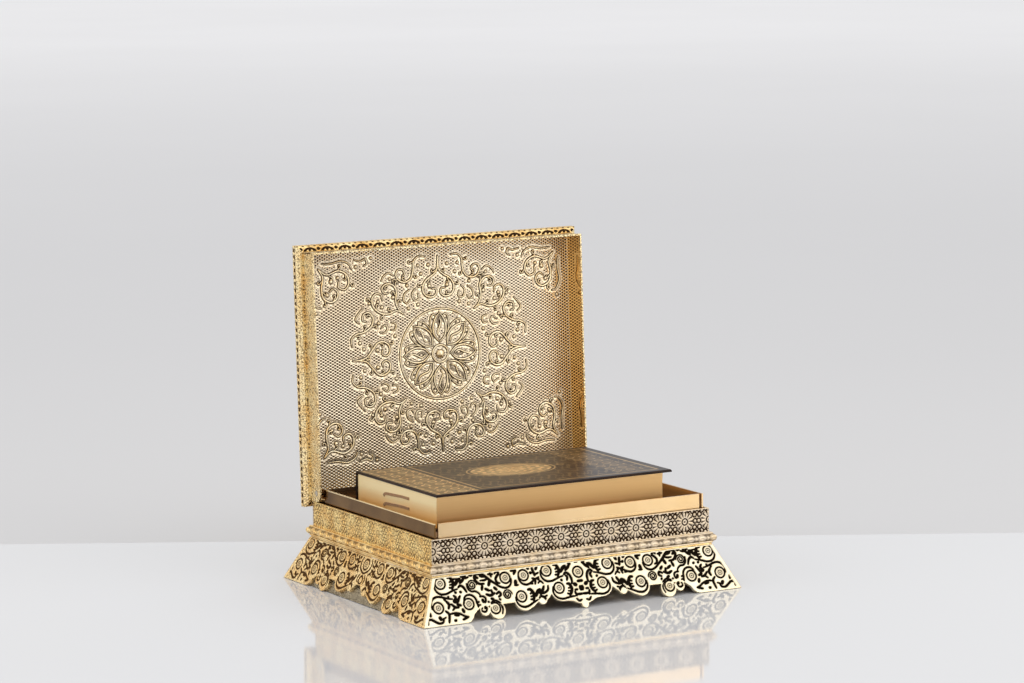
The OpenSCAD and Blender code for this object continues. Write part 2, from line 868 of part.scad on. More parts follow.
// Page block with a hollow fore edge
module book_pages() {
  front = book_front_y + overhang_front;
  hollow_r = (pages_h * pages_h / 4 + fore_hollow * fore_hollow) / (2 * fore_hollow);
  color(gilt_edge)
    difference() {
      translate([pages_left, front, pages_z])
        cube([pages_right - pages_left, book_back_y - spine_t - front, pages_h]);
      translate([pages_left - 1, front + fore_hollow - hollow_r, pages_z + pages_h / 2])
        rotate([0, 90, 0])
          cylinder(r = hollow_r, h = pages_right - pages_left + 2, $fn = 128);
    }
}

// Ribbon tails on the left end of the pages: [distance behind the book's middle, height in the pages]
ribbon_upper_route = [[-24, 19], [-12, 19], [0, 18.5], [10, 18], [18, 17.6], [22, 16.8], [24, 15]];
ribbon_lower_route = [[-24, 10], [-12, 10], [0, 9.5], [10, 9], [18, 8.6], [22, 7.8], [24, 6]];

// One ring of a flat band about a route point, as eight points
function ribbon_ring(p, along) =
  let (n = [-along[1], along[0]], h = ribbon_w / 2, t = ribbon_t)
    [for (k = [0:7])
      let (a = 360 * (k + 0.5) / 8)
        [pages_left - t / 2 + t / 2 * cos(a) / cos(22.5),
         book_y + p[0] + n[0] * h * sin(a) / cos(22.5),
         pages_z + p[1] + n[1] * h * sin(a) / cos(22.5)]];

function unit(v) = v / norm(v);

// Closed band swept along a route, with flat triangle fans at its ends
module ribbon(route) {
  last = len(route) - 1;
  rings = [for (i = [0:last]) ribbon_ring(route[i], unit(route[min(i + 1, last)] - route[max(i - 1, 0)]))];
  points = [for (ring = rings) for (p = ring) p];
  sides = [for (i = [0:last - 1]) for (k = [0:7])
    let (a = 8 * i + k, b = 8 * i + (k + 1) % 8)
      each [[a, b, b + 8], [a, b + 8, a + 8]]];
  near = [for (k = [1:6]) [0, k + 1, k]];
  far = [for (k = [1:6]) [8 * last, 8 * last + k, 8 * last + k + 1]];
  color(ribbon_red)
    polyhedron(points = points, faces = concat(sides, near, far));
}

module ribbon_upper() { ribbon(ribbon_upper_route); }
module ribbon_lower() { ribbon(ribbon_lower_route); }

skirt_front();
skirt_back();
skirt_left();
skirt_right();
corner_blocks();
floor_screws();
floor_plate();
moulding_front();
moulding_back();
moulding_left();
moulding_right();
band_front();
band_back();
band_left();
band_right();
liner_front();
liner_back();
liner_left();
liner_right();
pivot_bushes();
guide_posts();
lid_panel();
lid_wall_front();
lid_wall_back();
lid_wall_left();
lid_wall_right();
cornice_front();
cornice_back();
cornice_left();
cornice_right();
hinge_rod();
lift_arm_left();
lift_arm_right();
lift_pins();
tray_plate();
guide_bushes();
lift_bracket_left();
lift_bracket_right();
book_lower_cover();
book_upper_cover();
book_spine();
book_pages();
ribbon_upper();
ribbon_lower();
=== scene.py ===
import math

import bmesh
import bpy
import numpy as np
from mathutils import Matrix, Vector


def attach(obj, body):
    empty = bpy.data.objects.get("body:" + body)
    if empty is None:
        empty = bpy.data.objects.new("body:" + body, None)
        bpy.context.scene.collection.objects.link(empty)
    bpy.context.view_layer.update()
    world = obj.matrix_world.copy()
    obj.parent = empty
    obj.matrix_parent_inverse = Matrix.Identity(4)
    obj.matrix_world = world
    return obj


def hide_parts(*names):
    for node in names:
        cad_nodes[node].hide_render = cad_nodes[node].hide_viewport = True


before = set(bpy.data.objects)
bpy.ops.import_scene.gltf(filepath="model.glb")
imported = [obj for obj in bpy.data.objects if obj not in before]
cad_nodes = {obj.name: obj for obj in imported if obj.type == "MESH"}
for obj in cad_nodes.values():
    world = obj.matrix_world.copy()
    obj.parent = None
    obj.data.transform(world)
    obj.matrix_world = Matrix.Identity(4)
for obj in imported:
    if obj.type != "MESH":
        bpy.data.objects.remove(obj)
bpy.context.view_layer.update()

MM = 0.001
scene = bpy.context.scene
scene.view_settings.view_transform = "Standard"

# Sizes of the box in millimetres, as in the part's source
HALF_W, HALF_D = 142.5, 114.5
FLARE, FLOOR_TOP, STAND_H = 21.0, 40.5, 39.0
SLOPE_RUN = 19.5
SLOPE_L = math.hypot(SLOPE_RUN, FLOOR_TOP)
LEAN_SIN, LEAN_COS = SLOPE_RUN / SLOPE_L, FLOOR_TOP / SLOPE_L
BAND_TOP, MOULDING_H = 72.0, 9.3
RIM_Z, LID_DEPTH = 72.3, 24.0
PIVOT = Vector((0.0, 106.5, 80.484))
OPEN_ANGLE = 92.0
BOOK_TOP, TRAY_TOP, COVER_T = 105.0, 72.5, 2.3

SIDES = {"front": 0.0, "back": 180.0, "left": -90.0, "right": 90.0}


def side_size(side):
    """Half of a side's length, its distance from the middle, and whether it is a long side."""
    return (HALF_W, HALF_D, True) if side in ("front", "back") else (HALF_D, HALF_W, False)


# Camera fitted to the photograph, in degrees, metres and millimetres of lens
VIEW_YAW, VIEW_PITCH, VIEW_ROLL = -29.85, 7.75, -0.65
VIEW_ASIDE, VIEW_HEIGHT, VIEW_DISTANCE = 0.00425, 0.22172, 3.42389
VIEW_LENS = 132.98


def set_camera():
    yaw, pitch, roll = (math.radians(v) for v in (VIEW_YAW, VIEW_PITCH, VIEW_ROLL))
    right = Vector((math.cos(yaw), math.sin(yaw), 0.0))
    back = Vector((math.sin(yaw) * math.cos(pitch), -math.cos(yaw) * math.cos(pitch), math.sin(pitch)))
    up = back.cross(right)
    across = math.cos(roll) * right + math.sin(roll) * up
    upright = -math.sin(roll) * right + math.cos(roll) * up
    place = right * VIEW_ASIDE + Vector((0, 0, VIEW_HEIGHT)) + back * VIEW_DISTANCE
    data = bpy.data.cameras.new("camera")
    data.sensor_fit, data.sensor_width, data.lens = "HORIZONTAL", 36.0, VIEW_LENS
    data.clip_end = 100.0
    camera = bpy.data.objects.new("camera", data)
    turn = Matrix((across, upright, back)).transposed().to_4x4()
    camera.matrix_world = Matrix.Translation(place) @ turn
    scene.collection.objects.link(camera)
    scene.camera = camera


set_camera()


# Finishes

BLACK, WHITE = (0, 0, 0), (1, 1, 1)


def new_finish(name):
    mat = bpy.data.materials.new(name)
    mat.use_nodes = True
    tree = mat.node_tree
    return mat, tree, tree.nodes["Principled BSDF"]


def add(tree, kind, **settings):
    node = tree.nodes.new("ShaderNode" + kind)
    for key, value in settings.items():
        setattr(node, key, value)
    return node


def wire(tree, source, target):
    tree.links.new(source, target)


def fix(node, **values):
    """Constant values for a node's own sockets, whose names have _ for a space."""
    for key, value in values.items():
        node.inputs[key.replace("_", " ")].default_value = value


def object_place(tree, scale=(1, 1, 1), turn=(0, 0, 0)):
    mapping = add(tree, "Mapping")
    fix(mapping, Scale=scale, Rotation=turn)
    wire(tree, add(tree, "TexCoord").outputs["Object"], mapping.inputs["Vector"])
    return mapping.outputs["Vector"]


def axis_of(tree, vector, axis):
    split = add(tree, "SeparateXYZ")
    wire(tree, vector, split.inputs["Vector"])
    return split.outputs[axis]


def noise(tree, place, scale, detail=3.0, rough=0.55):
    node = add(tree, "TexNoise")
    fix(node, Scale=scale, Detail=detail, Roughness=rough)
    wire(tree, place, node.inputs["Vector"])
    return node.outputs["Fac"]


def ramp(tree, factor, stops):
    """Colour ramp with two stops."""
    node = add(tree, "ValToRGB")
    for element, (at, colour) in zip(node.color_ramp.elements, stops):
        element.position = at
        element.color = (*colour, 1.0)
    wire(tree, factor, node.inputs["Fac"])
    return node.outputs["Color"]


def math_node(tree, operation, *values, clamp=False):
    node = add(tree, "Math", operation=operation, use_clamp=clamp)
    for socket, value in zip(node.inputs, values):
        if isinstance(value, (int, float)):
            socket.default_value = value
        else:
            wire(tree, value, socket)
    return node.outputs["Value"]


def blend_colour(tree, factor, a, b):
    node = add(tree, "Mix", data_type="RGBA")
    for index, value in ((0, factor), (6, a), (7, b)):
        if isinstance(value, tuple):
            node.inputs[index].default_value = (*value, 1.0)
        else:
            wire(tree, value, node.inputs[index])
    return node.outputs[2]


def span(tree, value, low, high, start=0.0, stop=1.0):
    """The value's range from start to stop, spread from low to high."""
    node = add(tree, "MapRange")
    fix(node, From_Min=start, From_Max=stop, To_Min=low, To_Max=high)
    wire(tree, value, node.inputs["Value"])
    return node.outputs["Result"]


def mark(tree, name):
    return add(tree, "Attribute", attribute_name=name, attribute_type="GEOMETRY").outputs["Fac"]


def grain_pits(tree, place, scale, start, stop):
    """Pits between the grains of a stippled ground."""
    node = add(tree, "TexVoronoi", feature="F1")
    fix(node, Scale=scale)
    wire(tree, place, node.inputs["Vector"])
    return ramp(tree, node.outputs["Distance"], [(start, BLACK), (stop, WHITE)])


def surface(tree, bsdf, colour, rough, **fixed):
    wire(tree, colour, bsdf.inputs["Base Color"])
    wire(tree, rough, bsdf.inputs["Roughness"])
    fix(bsdf, **fixed)


def bump(tree, bsdf, height, depth, strength):
    node = add(tree, "Bump")
    fix(node, Strength=strength, Distance=depth)
    wire(tree, height, node.inputs["Height"])
    wire(tree, node.outputs["Normal"], bsdf.inputs["Normal"])


def relief_gilt(name, bright, warm, dark, gloss, grain=0.00012, stipple=0.0):
    """Satin gilt relief: bright tops, warm patina in patches, and dark where the mark is high: the dark fill
    of grooves, and painted shade at the foot of the lid's raised scrolls.
    """
    mat, tree, bsdf = new_finish(name)
    place = object_place(tree)
    patches = noise(tree, place, 70.0, 4.0)
    fine = noise(tree, place, 900.0, 2.0)
    gold = ramp(tree, patches, [(0.34, warm), (0.62, bright)])
    gold = blend_colour(tree, span(tree, fine, 0.0, 0.22), gold, warm)
    recess_and_shade = mark(tree, "recess_and_shade")
    if stipple:
        pits = grain_pits(tree, place, 700.0, 0.36, 0.7)
        recess_and_shade = math_node(tree, "MAXIMUM", recess_and_shade, math_node(tree, "MULTIPLY", pits, stipple))
        fine = math_node(tree, "SUBTRACT", fine, pits)
    shade = ramp(tree, recess_and_shade, [(0.28, BLACK), (0.56, WHITE)])
    rough = math_node(tree, "ADD", span(tree, patches, gloss - 0.06, gloss + 0.1),
                      math_node(tree, "MULTIPLY", shade, 0.35), clamp=True)
    surface(tree, bsdf, blend_colour(tree, shade, gold, dark), rough, Metallic=1.0)
    bump(tree, bsdf, fine, grain, 0.6)
    return mat


EDGE_HIGHLIGHT_GOLD = (0.95, 0.76, 0.46)


def polished_gilt(name, colour, deep, gloss, rim=None):
    """Polished sheet with faint streaks from the wheel, and a painted highlight on the edge above the height
    rim.
    """
    mat, tree, bsdf = new_finish(name)
    place = object_place(tree)
    streaks = noise(tree, object_place(tree, scale=(6.0, 6.0, 260.0)), 1.0)
    tone = ramp(tree, noise(tree, place, 18.0), [(0.3, deep), (0.72, colour)])
    tone = blend_colour(tree, span(tree, streaks, 0.0, 0.3), tone, deep)
    if rim:
        # painted highlight on the edge above the given height
        above = math_node(tree, "GREATER_THAN", axis_of(tree, place, "Z"), rim)
        tone = blend_colour(tree, above, tone, EDGE_HIGHLIGHT_GOLD)
    surface(tree, bsdf, tone, span(tree, streaks, gloss - 0.04, gloss + 0.1), Metallic=1.0)
    bump(tree, bsdf, streaks, 0.00004, 0.35)
    return mat


WEAVE_PITCH = {"X": 0.0048, "Y": 0.0028}


def embossed_gilt(name, bright, warm, dark):
    """Lid panel: a woven lozenge ground between the raised scrolls."""
    mat, tree, bsdf = new_finish(name)
    flat = add(tree, "UVMap", uv_map="panel").outputs["UV"]
    u, v = (math_node(tree, "MULTIPLY", axis_of(tree, flat, axis), 2 * math.pi / pitch)
            for axis, pitch in WEAVE_PITCH.items())
    rows, cols = (math_node(tree, "COSINE", math_node(tree, way, u, v)) for way in ("ADD", "SUBTRACT"))
    weave = math_node(tree, "MULTIPLY_ADD", math_node(tree, "ADD", rows, cols), 0.25, 0.5)
    ground = mark(tree, "ground")
    place = object_place(tree)
    gold = ramp(tree, noise(tree, place, 14.0, 4.0), [(0.3, warm), (0.7, bright)])
    pits = math_node(tree, "MULTIPLY", ramp(tree, weave, [(0.14, WHITE), (0.66, BLACK)]), ground)
    bare = math_node(tree, "MULTIPLY", math_node(tree, "SUBTRACT", 1.0, ground), 0.75)
    grit = math_node(tree, "MULTIPLY", grain_pits(tree, place, 640.0, 0.4, 0.85), bare)
    # the mark holds painted shade beside the raised lines and in the corners
    recess_and_shade = math_node(tree, "MAXIMUM", mark(tree, "recess_and_shade"), math_node(tree, "MAXIMUM", pits, grit))
    shade = ramp(tree, recess_and_shade, [(0.08, BLACK), (0.9, WHITE)])
    surface(tree, bsdf, blend_colour(tree, shade, gold, dark), span(tree, shade, 0.24, 0.55), Metallic=1.0)
    height = math_node(tree, "MULTIPLY_ADD", noise(tree, place, 700.0, 2.0), 0.25,
                       math_node(tree, "MULTIPLY", weave, ground))
    bump(tree, bsdf, height, 0.0006, 0.9)
    return mat


def bound_cover(name):
    """Glossy dark binding with gold tooling where the attribute says so."""
    mat, tree, bsdf = new_finish(name)
    place = object_place(tree)
    cloud = noise(tree, place, 60.0, 4.0)
    pores = noise(tree, place, 1400.0, 2.0)
    leather = ramp(tree, cloud, [(0.35, (0.016, 0.009, 0.007)), (0.7, (0.04, 0.022, 0.015))])
    gold = ramp(tree, cloud, [(0.3, (0.72, 0.42, 0.15)), (0.7, (1.0, 0.70, 0.32))])
    worn = math_node(tree, "MULTIPLY", mark(tree, "tooling"), span(tree, pores, 0.6, 1.1), clamp=True)
    wire(tree, math_node(tree, "MULTIPLY", worn, 0.7), bsdf.inputs["Metallic"])
    surface(tree, bsdf, blend_colour(tree, worn, leather, gold), span(tree, pores, 0.22, 0.44),
            Specular_IOR_Level=0.12, Coat_Weight=0.03, Coat_Roughness=0.15)
    bump(tree, bsdf, pores, 0.00008, 0.5)
    return mat


def gilt_pages(name, deep, light, metal, fade):
    """Gilt page block: fine leaves under a burnished edge, darker towards the foot of the block with painted
    shade near the liner's top.
    """
    mat, tree, bsdf = new_finish(name)
    leaves = noise(tree, object_place(tree, scale=(3, 3, 2600)), 1.0, 2.0, 0.7)
    glow = noise(tree, object_place(tree, scale=(22, 22, 6)), 1.0, 2.0)
    # painted shade: the gilt darkens towards the foot of the block, near the liner's top
    rise = span(tree, axis_of(tree, object_place(tree), "Z"), 0.0, 1.0, *fade)
    lift = math_node(tree, "ADD", rise, span(tree, glow, -0.2, 0.2), clamp=True)
    tone = ramp(tree, lift, [(0.05, deep), (0.8, light)])
    tone = blend_colour(tree, span(tree, leaves, 0.0, 0.3), tone, deep)
    surface(tree, bsdf, tone, span(tree, leaves, 0.26, 0.42), Metallic=metal)
    bump(tree, bsdf, leaves, 0.00008, 0.6)
    return mat


def woven_ribbon(name):
    mat, tree, bsdf = new_finish(name)
    threads = noise(tree, object_place(tree, scale=(300, 900, 900)), 1.0)
    tone = ramp(tree, threads, [(0.3, (0.20, 0.08, 0.02)), (0.7, (0.46, 0.23, 0.06))])
    wire(tree, tone, bsdf.inputs["Base Color"])
    fix(bsdf, Roughness=0.55, Sheen_Weight=0.4)
    bump(tree, bsdf, threads, 0.0001, 0.6)
    return mat


def turned_steel(name):
    mat, tree, bsdf = new_finish(name)
    lines = noise(tree, object_place(tree, scale=(900, 40, 40)), 1.0)
    cloud = noise(tree, object_place(tree), 90.0)
    tone = ramp(tree, cloud, [(0.3, (0.42, 0.40, 0.36)), (0.7, (0.64, 0.61, 0.55))])
    surface(tree, bsdf, tone, span(tree, lines, 0.25, 0.48), Metallic=1.0)
    bump(tree, bsdf, lines, 0.00005, 0.4)
    return mat


def stained_board(name, light, deep):
    mat, tree, bsdf = new_finish(name)
    rings = noise(tree, object_place(tree, scale=(8, 120, 120)), 1.0, 5.0, 0.6)
    pores = noise(tree, object_place(tree, scale=(60, 1200, 1200)), 1.0, 2.0)
    tone = ramp(tree, rings, [(0.3, deep), (0.68, light)])
    tone = blend_colour(tree, span(tree, pores, 0.0, 0.4), tone, deep)
    surface(tree, bsdf, tone, span(tree, pores, 0.45, 0.7))
    bump(tree, bsdf, pores, 0.0001, 0.5)
    return mat


# Where the table ends behind the box and where the ground is palest, in metres from the middle
TABLE_END, GROUND_END = (0.214, 0.217), 9.0


def table_finish(name):
    """Glossy pale table, and a matt pale ground behind it, painted paler far off and with soft clouds of
    shade, as light falls on a wall.
    """
    mat, tree, bsdf = new_finish(name)
    ahead = axis_of(tree, object_place(tree, turn=(0, 0, math.radians(-VIEW_YAW))), "Y")
    behind = span(tree, ahead, 0.0, 1.0, *TABLE_END)
    # painted light: the ground grows paler far off, and soft clouds of painted shade lie over it
    far = span(tree, ahead, 0.0, 1.0, 0.0, GROUND_END)
    cloud = noise(tree, object_place(tree), 0.8)
    ground = ramp(tree, far, [(0.0, (0.61, 0.61, 0.62)), (1.0, (0.95, 0.95, 0.96))])
    ground = blend_colour(tree, span(tree, cloud, 0.0, 0.16), ground, (0.56, 0.56, 0.57))
    surface(tree, bsdf, blend_colour(tree, behind, (0.68, 0.685, 0.705), ground),
            span(tree, behind, 0.055, 1.0), Specular_IOR_Level=0.5)
    return mat


# Height above which the liner's top edge takes a painted highlight, in metres
LINER_HIGHLIGHT_HEIGHT = 0.0842

BLACKENED = (0.012, 0.008, 0.005)
BROWNED = (0.05, 0.026, 0.012)
UMBER = (0.10, 0.048, 0.015)
# The stand, walls and mouldings are one gilt. The long and short sides take copies of it painted with the
# light each face gets: paler on the long faces, warmer and darker on the short ones.
pale_front_light_gilt = relief_gilt("pale_front_light_gilt", (0.88, 0.80, 0.62), (0.80, 0.69, 0.48), BLACKENED, 0.33)
rose_front_light_gilt = relief_gilt("rose_front_light_gilt", (0.71, 0.61, 0.49), (0.62, 0.50, 0.35), BROWNED, 0.34)
warm_gilt = relief_gilt("warm_gilt", (1.0, 0.78, 0.40), (0.70, 0.42, 0.14), BROWNED, 0.25, 0.00025)
warm_side_light_gilt = relief_gilt("warm_side_light_gilt", (1.0, 0.82, 0.48), (0.84, 0.54, 0.22), UMBER, 0.22, 0.0005, 0.4)
grained_side_light_gilt = relief_gilt("grained_side_light_gilt", (1.0, 0.80, 0.39), (0.97, 0.64, 0.24), UMBER, 0.22, 0.0005, 0.42)
studded_gilt = relief_gilt("studded_gilt", (1.0, 0.87, 0.56), (0.94, 0.70, 0.36), UMBER, 0.24, 0.0005, 0.47)
champagne_gilt = embossed_gilt("champagne_gilt", (0.99, 0.87, 0.68), (0.89, 0.73, 0.52),
                               (0.045, 0.025, 0.013))
scroll_gilt = relief_gilt("scroll_gilt", (0.98, 0.88, 0.66), (0.88, 0.70, 0.42), BROWNED, 0.26)
satin_sheet = polished_gilt("satin_sheet", (0.70, 0.53, 0.33), (0.64, 0.46, 0.25), 0.26)
# painted dark reflection: a darker copy of the liner sheet, for the left liner
dark_reflection_sheet = polished_gilt("dark_reflection_sheet", (0.28, 0.16, 0.06), (0.10, 0.05, 0.018), 0.14, LINER_HIGHLIGHT_HEIGHT)
amber_sheet = polished_gilt("amber_sheet", (1.0, 0.74, 0.35), (0.90, 0.55, 0.20), 0.06)
brushed_sheet = polished_gilt("brushed_sheet", (0.94, 0.78, 0.52), (0.84, 0.64, 0.38), 0.24)
raw_sheet = polished_gilt("raw_sheet", (0.88, 0.80, 0.65), (0.74, 0.64, 0.48), 0.4)
binding = bound_cover("binding")
fore_edge = gilt_pages("fore_edge", (0.45, 0.24, 0.08), (0.80, 0.54, 0.26), 0.9, (0.078, 0.084))
page_end = gilt_pages("page_end", (1.0, 0.46, 0.09), (1.0, 0.86, 0.50), 0.05, (0.074, 0.098))
ribbon_cloth = woven_ribbon("ribbon_cloth")
steel = turned_steel("steel")
board = stained_board("board", (0.34, 0.19, 0.09), (0.16, 0.08, 0.035))


# Pieces

def set_finish(obj, mat):
    obj.data.materials.clear()
    obj.data.materials.append(mat)


def keep_piece(name, bm, finish, body, stands_for=(), marks=None):
    mesh = bpy.data.meshes.new(name)
    bm.to_mesh(mesh)
    bm.free()
    for mat in finish if isinstance(finish, tuple) else (finish,):
        mesh.materials.append(mat)
    for key, values in (marks or {}).items():
        mesh.attributes.new(key, "FLOAT", "POINT").data.foreach_set("value", np.asarray(values, np.float32))
    obj = bpy.data.objects.new(name, mesh)
    scene.collection.objects.link(obj)
    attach(obj, body)
    if stands_for:
        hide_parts(*stands_for)
    return obj


def axes_at(origin, across, up, out):
    turn = Matrix((across, up, out)).transposed().to_4x4()
    return Matrix.Translation(Vector(origin)) @ turn


def side_turn(side):
    return Matrix.Rotation(math.radians(SIDES[side]), 4, "Z")


LID_OPEN = (Matrix.Translation(PIVOT) @ Matrix.Rotation(math.radians(-OPEN_ANGLE), 4, "X")
            @ Matrix.Translation(-PIVOT))


def smooth_path(points, gap=0.2):
    p = np.array(points, float)
    if len(p) > 2:
        ends = np.vstack([2 * p[0] - p[1], p, 2 * p[-1] - p[-2]])
        t = np.linspace(0, 1, 12, endpoint=False)[:, None]
        rows = []
        for i in range(1, len(ends) - 2):
            a, b, c, d = ends[i - 1:i + 3]
            rows.append(0.5 * (2 * b + (c - a) * t + (2 * a - 5 * b + 4 * c - d) * t ** 2
                               + (3 * b - a - 3 * c + d) * t ** 3))
        p = np.vstack(rows + [p[-1:]])
    run = np.concatenate([[0.0], np.cumsum(np.hypot(*np.diff(p, axis=0).T))])
    at = np.linspace(0.0, run[-1], max(2, int(run[-1] / gap) + 1))
    return np.column_stack([np.interp(at, run, p[:, 0]), np.interp(at, run, p[:, 1])])


# Marker ribbons that lie on the page ends, along the routes in the part's source, in metres
RIBBON_W, RIBBON_T, RIBBON_EASE = 0.0026, 0.0006, 0.0001
RIBBON_ROUTE = [(-0.024, 0.010), (-0.012, 0.010), (0.0, 0.0095), (0.010, 0.009), (0.018, 0.0086),
                (0.022, 0.0078), (0.024, 0.006)]
RIBBON_RISE = {"upper": 0.009, "lower": 0.0}
PAGES_END, BOOK_MIDDLE, PAGES_LOW = -0.1203, -0.007992, 0.0748


def marker_ribbon(name):
    x = PAGES_END - RIBBON_T / 2
    low = PAGES_LOW + RIBBON_RISE[name]
    route = smooth_path([(BOOK_MIDDLE + a, low + b) for a, b in RIBBON_ROUTE], 0.0014)
    ahead = np.gradient(route, axis=0)
    ahead /= np.hypot(*ahead.T)[:, None]
    bm = bmesh.new()
    bmesh.ops.create_grid(bm, x_segments=len(route) - 1, y_segments=4, size=0.5)
    for v in bm.verts:
        i, across = round((v.co.x + 0.5) * (len(route) - 1)), v.co.y * (RIBBON_W - RIBBON_EASE)
        v.co = (x, route[i, 0] - ahead[i, 1] * across, route[i, 1] + ahead[i, 0] * across)
    bmesh.ops.recalc_face_normals(bm, faces=bm.faces)
    bmesh.ops.solidify(bm, geom=list(bm.faces), thickness=RIBBON_T - RIBBON_EASE)
    off = x - sum(v.co.x for v in bm.verts) / len(bm.verts)
    bmesh.ops.translate(bm, vec=(off, 0, 0), verts=bm.verts)
    bmesh.ops.recalc_face_normals(bm, faces=bm.faces)
    piece = keep_piece("marker_" + name, bm, ribbon_cloth, "tray", ["ribbon_" + name])


for name in RIBBON_RISE:
    marker_ribbon(name)


class Drawing:
    """Distances to drawn lines, kept on a fine lattice and read back at any point."""

    def __init__(self, x0, y0, x1, y1, cell=0.25):
        self.x0, self.y0, self.cell = x0, y0, cell
        self.gap = np.full((int((y1 - y0) / cell) + 2, int((x1 - x0) / cell) + 2), 9.0, np.float32)

    def line(self, width, points, taper=0.35):
        path = smooth_path(points)
        t = np.linspace(0, 1, len(path))
        half = width / 2 * (1 - taper + taper * np.sin(np.pi * t) ** 0.5)
        reach = width / 2 + 3.0
        rows, cols = self.gap.shape
        c0 = max(0, int((path[:, 0].min() - reach - self.x0) / self.cell))
        c1 = min(cols, int((path[:, 0].max() + reach - self.x0) / self.cell) + 1)
        r0 = max(0, int((path[:, 1].min() - reach - self.y0) / self.cell))
        r1 = min(rows, int((path[:, 1].max() + reach - self.y0) / self.cell) + 1)
        if c1 <= c0 or r1 <= r0:
            return
        gx = self.x0 + np.arange(c0, c1) * self.cell
        gy = self.y0 + np.arange(r0, r1) * self.cell
        near = np.full((r1 - r0, c1 - c0), 9.0, np.float32)
        for k in range(0, len(path), 40):
            dx = gx[None, :, None] - path[k:k + 40, 0]
            dy = gy[:, None, None] - path[k:k + 40, 1]
            near = np.minimum(near, (np.hypot(dx, dy) - half[k:k + 40]).min(axis=2))
        self.gap[r0:r1, c0:c1] = np.minimum(self.gap[r0:r1, c0:c1], near)

    def read(self, x, y):
        rows, cols = self.gap.shape
        fx = np.clip((x - self.x0) / self.cell, 0, cols - 1.001)
        fy = np.clip((y - self.y0) / self.cell, 0, rows - 1.001)
        c, r = fx.astype(int), fy.astype(int)
        wx, wy = fx - c, fy - r
        g = self.gap
        return ((g[r, c] * (1 - wx) + g[r, c + 1] * wx) * (1 - wy)
                + (g[r + 1, c] * (1 - wx) + g[r + 1, c + 1] * wx) * wy)


def turned(points, angle):
    c, s = math.cos(angle), math.sin(angle)
    return [(x * c - y * s, x * s + y * c) for x, y in points]


def edge(gap, soft=0.4):
    """1 inside a drawn line, 0 outside it, with a soft edge."""
    return np.clip(0.5 - gap / soft, 0.0, 1.0)


def lay_sheet(width, height, step):
    bm = bmesh.new()
    bmesh.ops.create_grid(bm, x_segments=round(width / step), y_segments=round(height / step), size=0.5)
    bmesh.ops.scale(bm, vec=(width, height, 1.0), verts=bm.verts)
    return bm


def flat_points(bm):
    return np.array([v.co for v in bm.verts])


def trim_sheet(bm, outline, step):
    """Draws the points beside the outline onto it, and takes away what lies outside."""
    p = flat_points(bm)[:, :2]
    nudge = 0.02
    for _ in range(2):
        away = outline(p[:, 0], p[:, 1])
        gx = (outline(p[:, 0] + nudge, p[:, 1]) - outline(p[:, 0] - nudge, p[:, 1])) / (2 * nudge)
        gy = (outline(p[:, 0], p[:, 1] + nudge) - outline(p[:, 0], p[:, 1] - nudge)) / (2 * nudge)
        beside = np.abs(away) < 0.52 * step
        pull = away / np.maximum(gx ** 2 + gy ** 2, 0.25)
        p[beside, 0] -= (pull * gx)[beside]
        p[beside, 1] -= (pull * gy)[beside]
    outside = outline(p[:, 0], p[:, 1]) > 0.1 * step
    for v, (x, y) in zip(bm.verts, p):
        v.co.x, v.co.y = x, y
    bm.verts.index_update()
    drop = [f for f in bm.faces if any(outside[v.index] for v in f.verts)]
    bmesh.ops.delete(bm, geom=drop, context="FACES")
    bmesh.ops.remove_doubles(bm, verts=bm.verts, dist=0.04)
    bmesh.ops.dissolve_degenerate(bm, edges=bm.edges, dist=0.02)


def close_back(bm, thickness, pierced=False):
    """Gives a sheet its sides and a plain back, with the holes of a pierced one."""
    rim = [e for e in bm.edges if e.is_boundary]
    for e in rim:
        e.smooth = False
    made = bmesh.ops.extrude_edge_only(bm, edges=rim)["geom"]
    for v in made:
        if isinstance(v, bmesh.types.BMVert):
            v.co.z = -thickness
    loop = [e for e in made if isinstance(e, bmesh.types.BMEdge) and e.is_boundary]
    for e in loop:
        e.smooth = False
    if pierced:
        bmesh.ops.triangle_fill(bm, edges=loop, use_beauty=False, use_dissolve=False, normal=(0, 0, -1))
    else:
        bmesh.ops.edgeloop_fill(bm, edges=loop)
    bmesh.ops.recalc_face_normals(bm, faces=bm.faces)
    for f in bm.faces:
        f.smooth = len(f.verts) == 4
    bm.verts.index_update()


def mark_back(bm, depth):
    """Gives the back of a sheet its piece's second finish."""
    for f in bm.faces:
        if all(v.co.z < -depth for v in f.verts):
            f.material_index = 1


def place_points(bm, points, place):
    spot = np.array(place)
    world = (points @ spot[:3, :3].T + spot[:3, 3]) * MM
    for v, co in zip(bm.verts, world):
        v.co = co


# Flared stand: scallops, border and scroll work
# One scroll, measured to the right and down from the middle of its eye: (width, points)
SCROLL = [
    (1.5, [(-5.9, -0.5), (-6.2, 3.6), (-4.6, 7.3), (-1, 9.6), (3.8, 9.7), (8.6, 8.2), (12.6, 7),
           (15.6, 6.5)]),
    (2.2, [(8.2, -4.4), (10.6, -4.2), (12.6, -0.6), (12.2, 3), (10.4, 5.8)]),
    (1.3, [(12, -1), (9.2, -0.4)]),
    (1.3, [(12, 1.8), (9, 2.2)]),
    (1.4, [(10.8, 4.8), (8, 4.6)]),
    (2.4, [(14.2, 2.6), (17.5, -1), (20, -2.2)]),
    (2.0, [(19.2, 1.6), (22.4, -0.8), (24.8, -4)]),
    (1.8, [(16.8, 5.2), (19, 3.9), (21.9, 5.8), (23.9, 10.2)]),
]
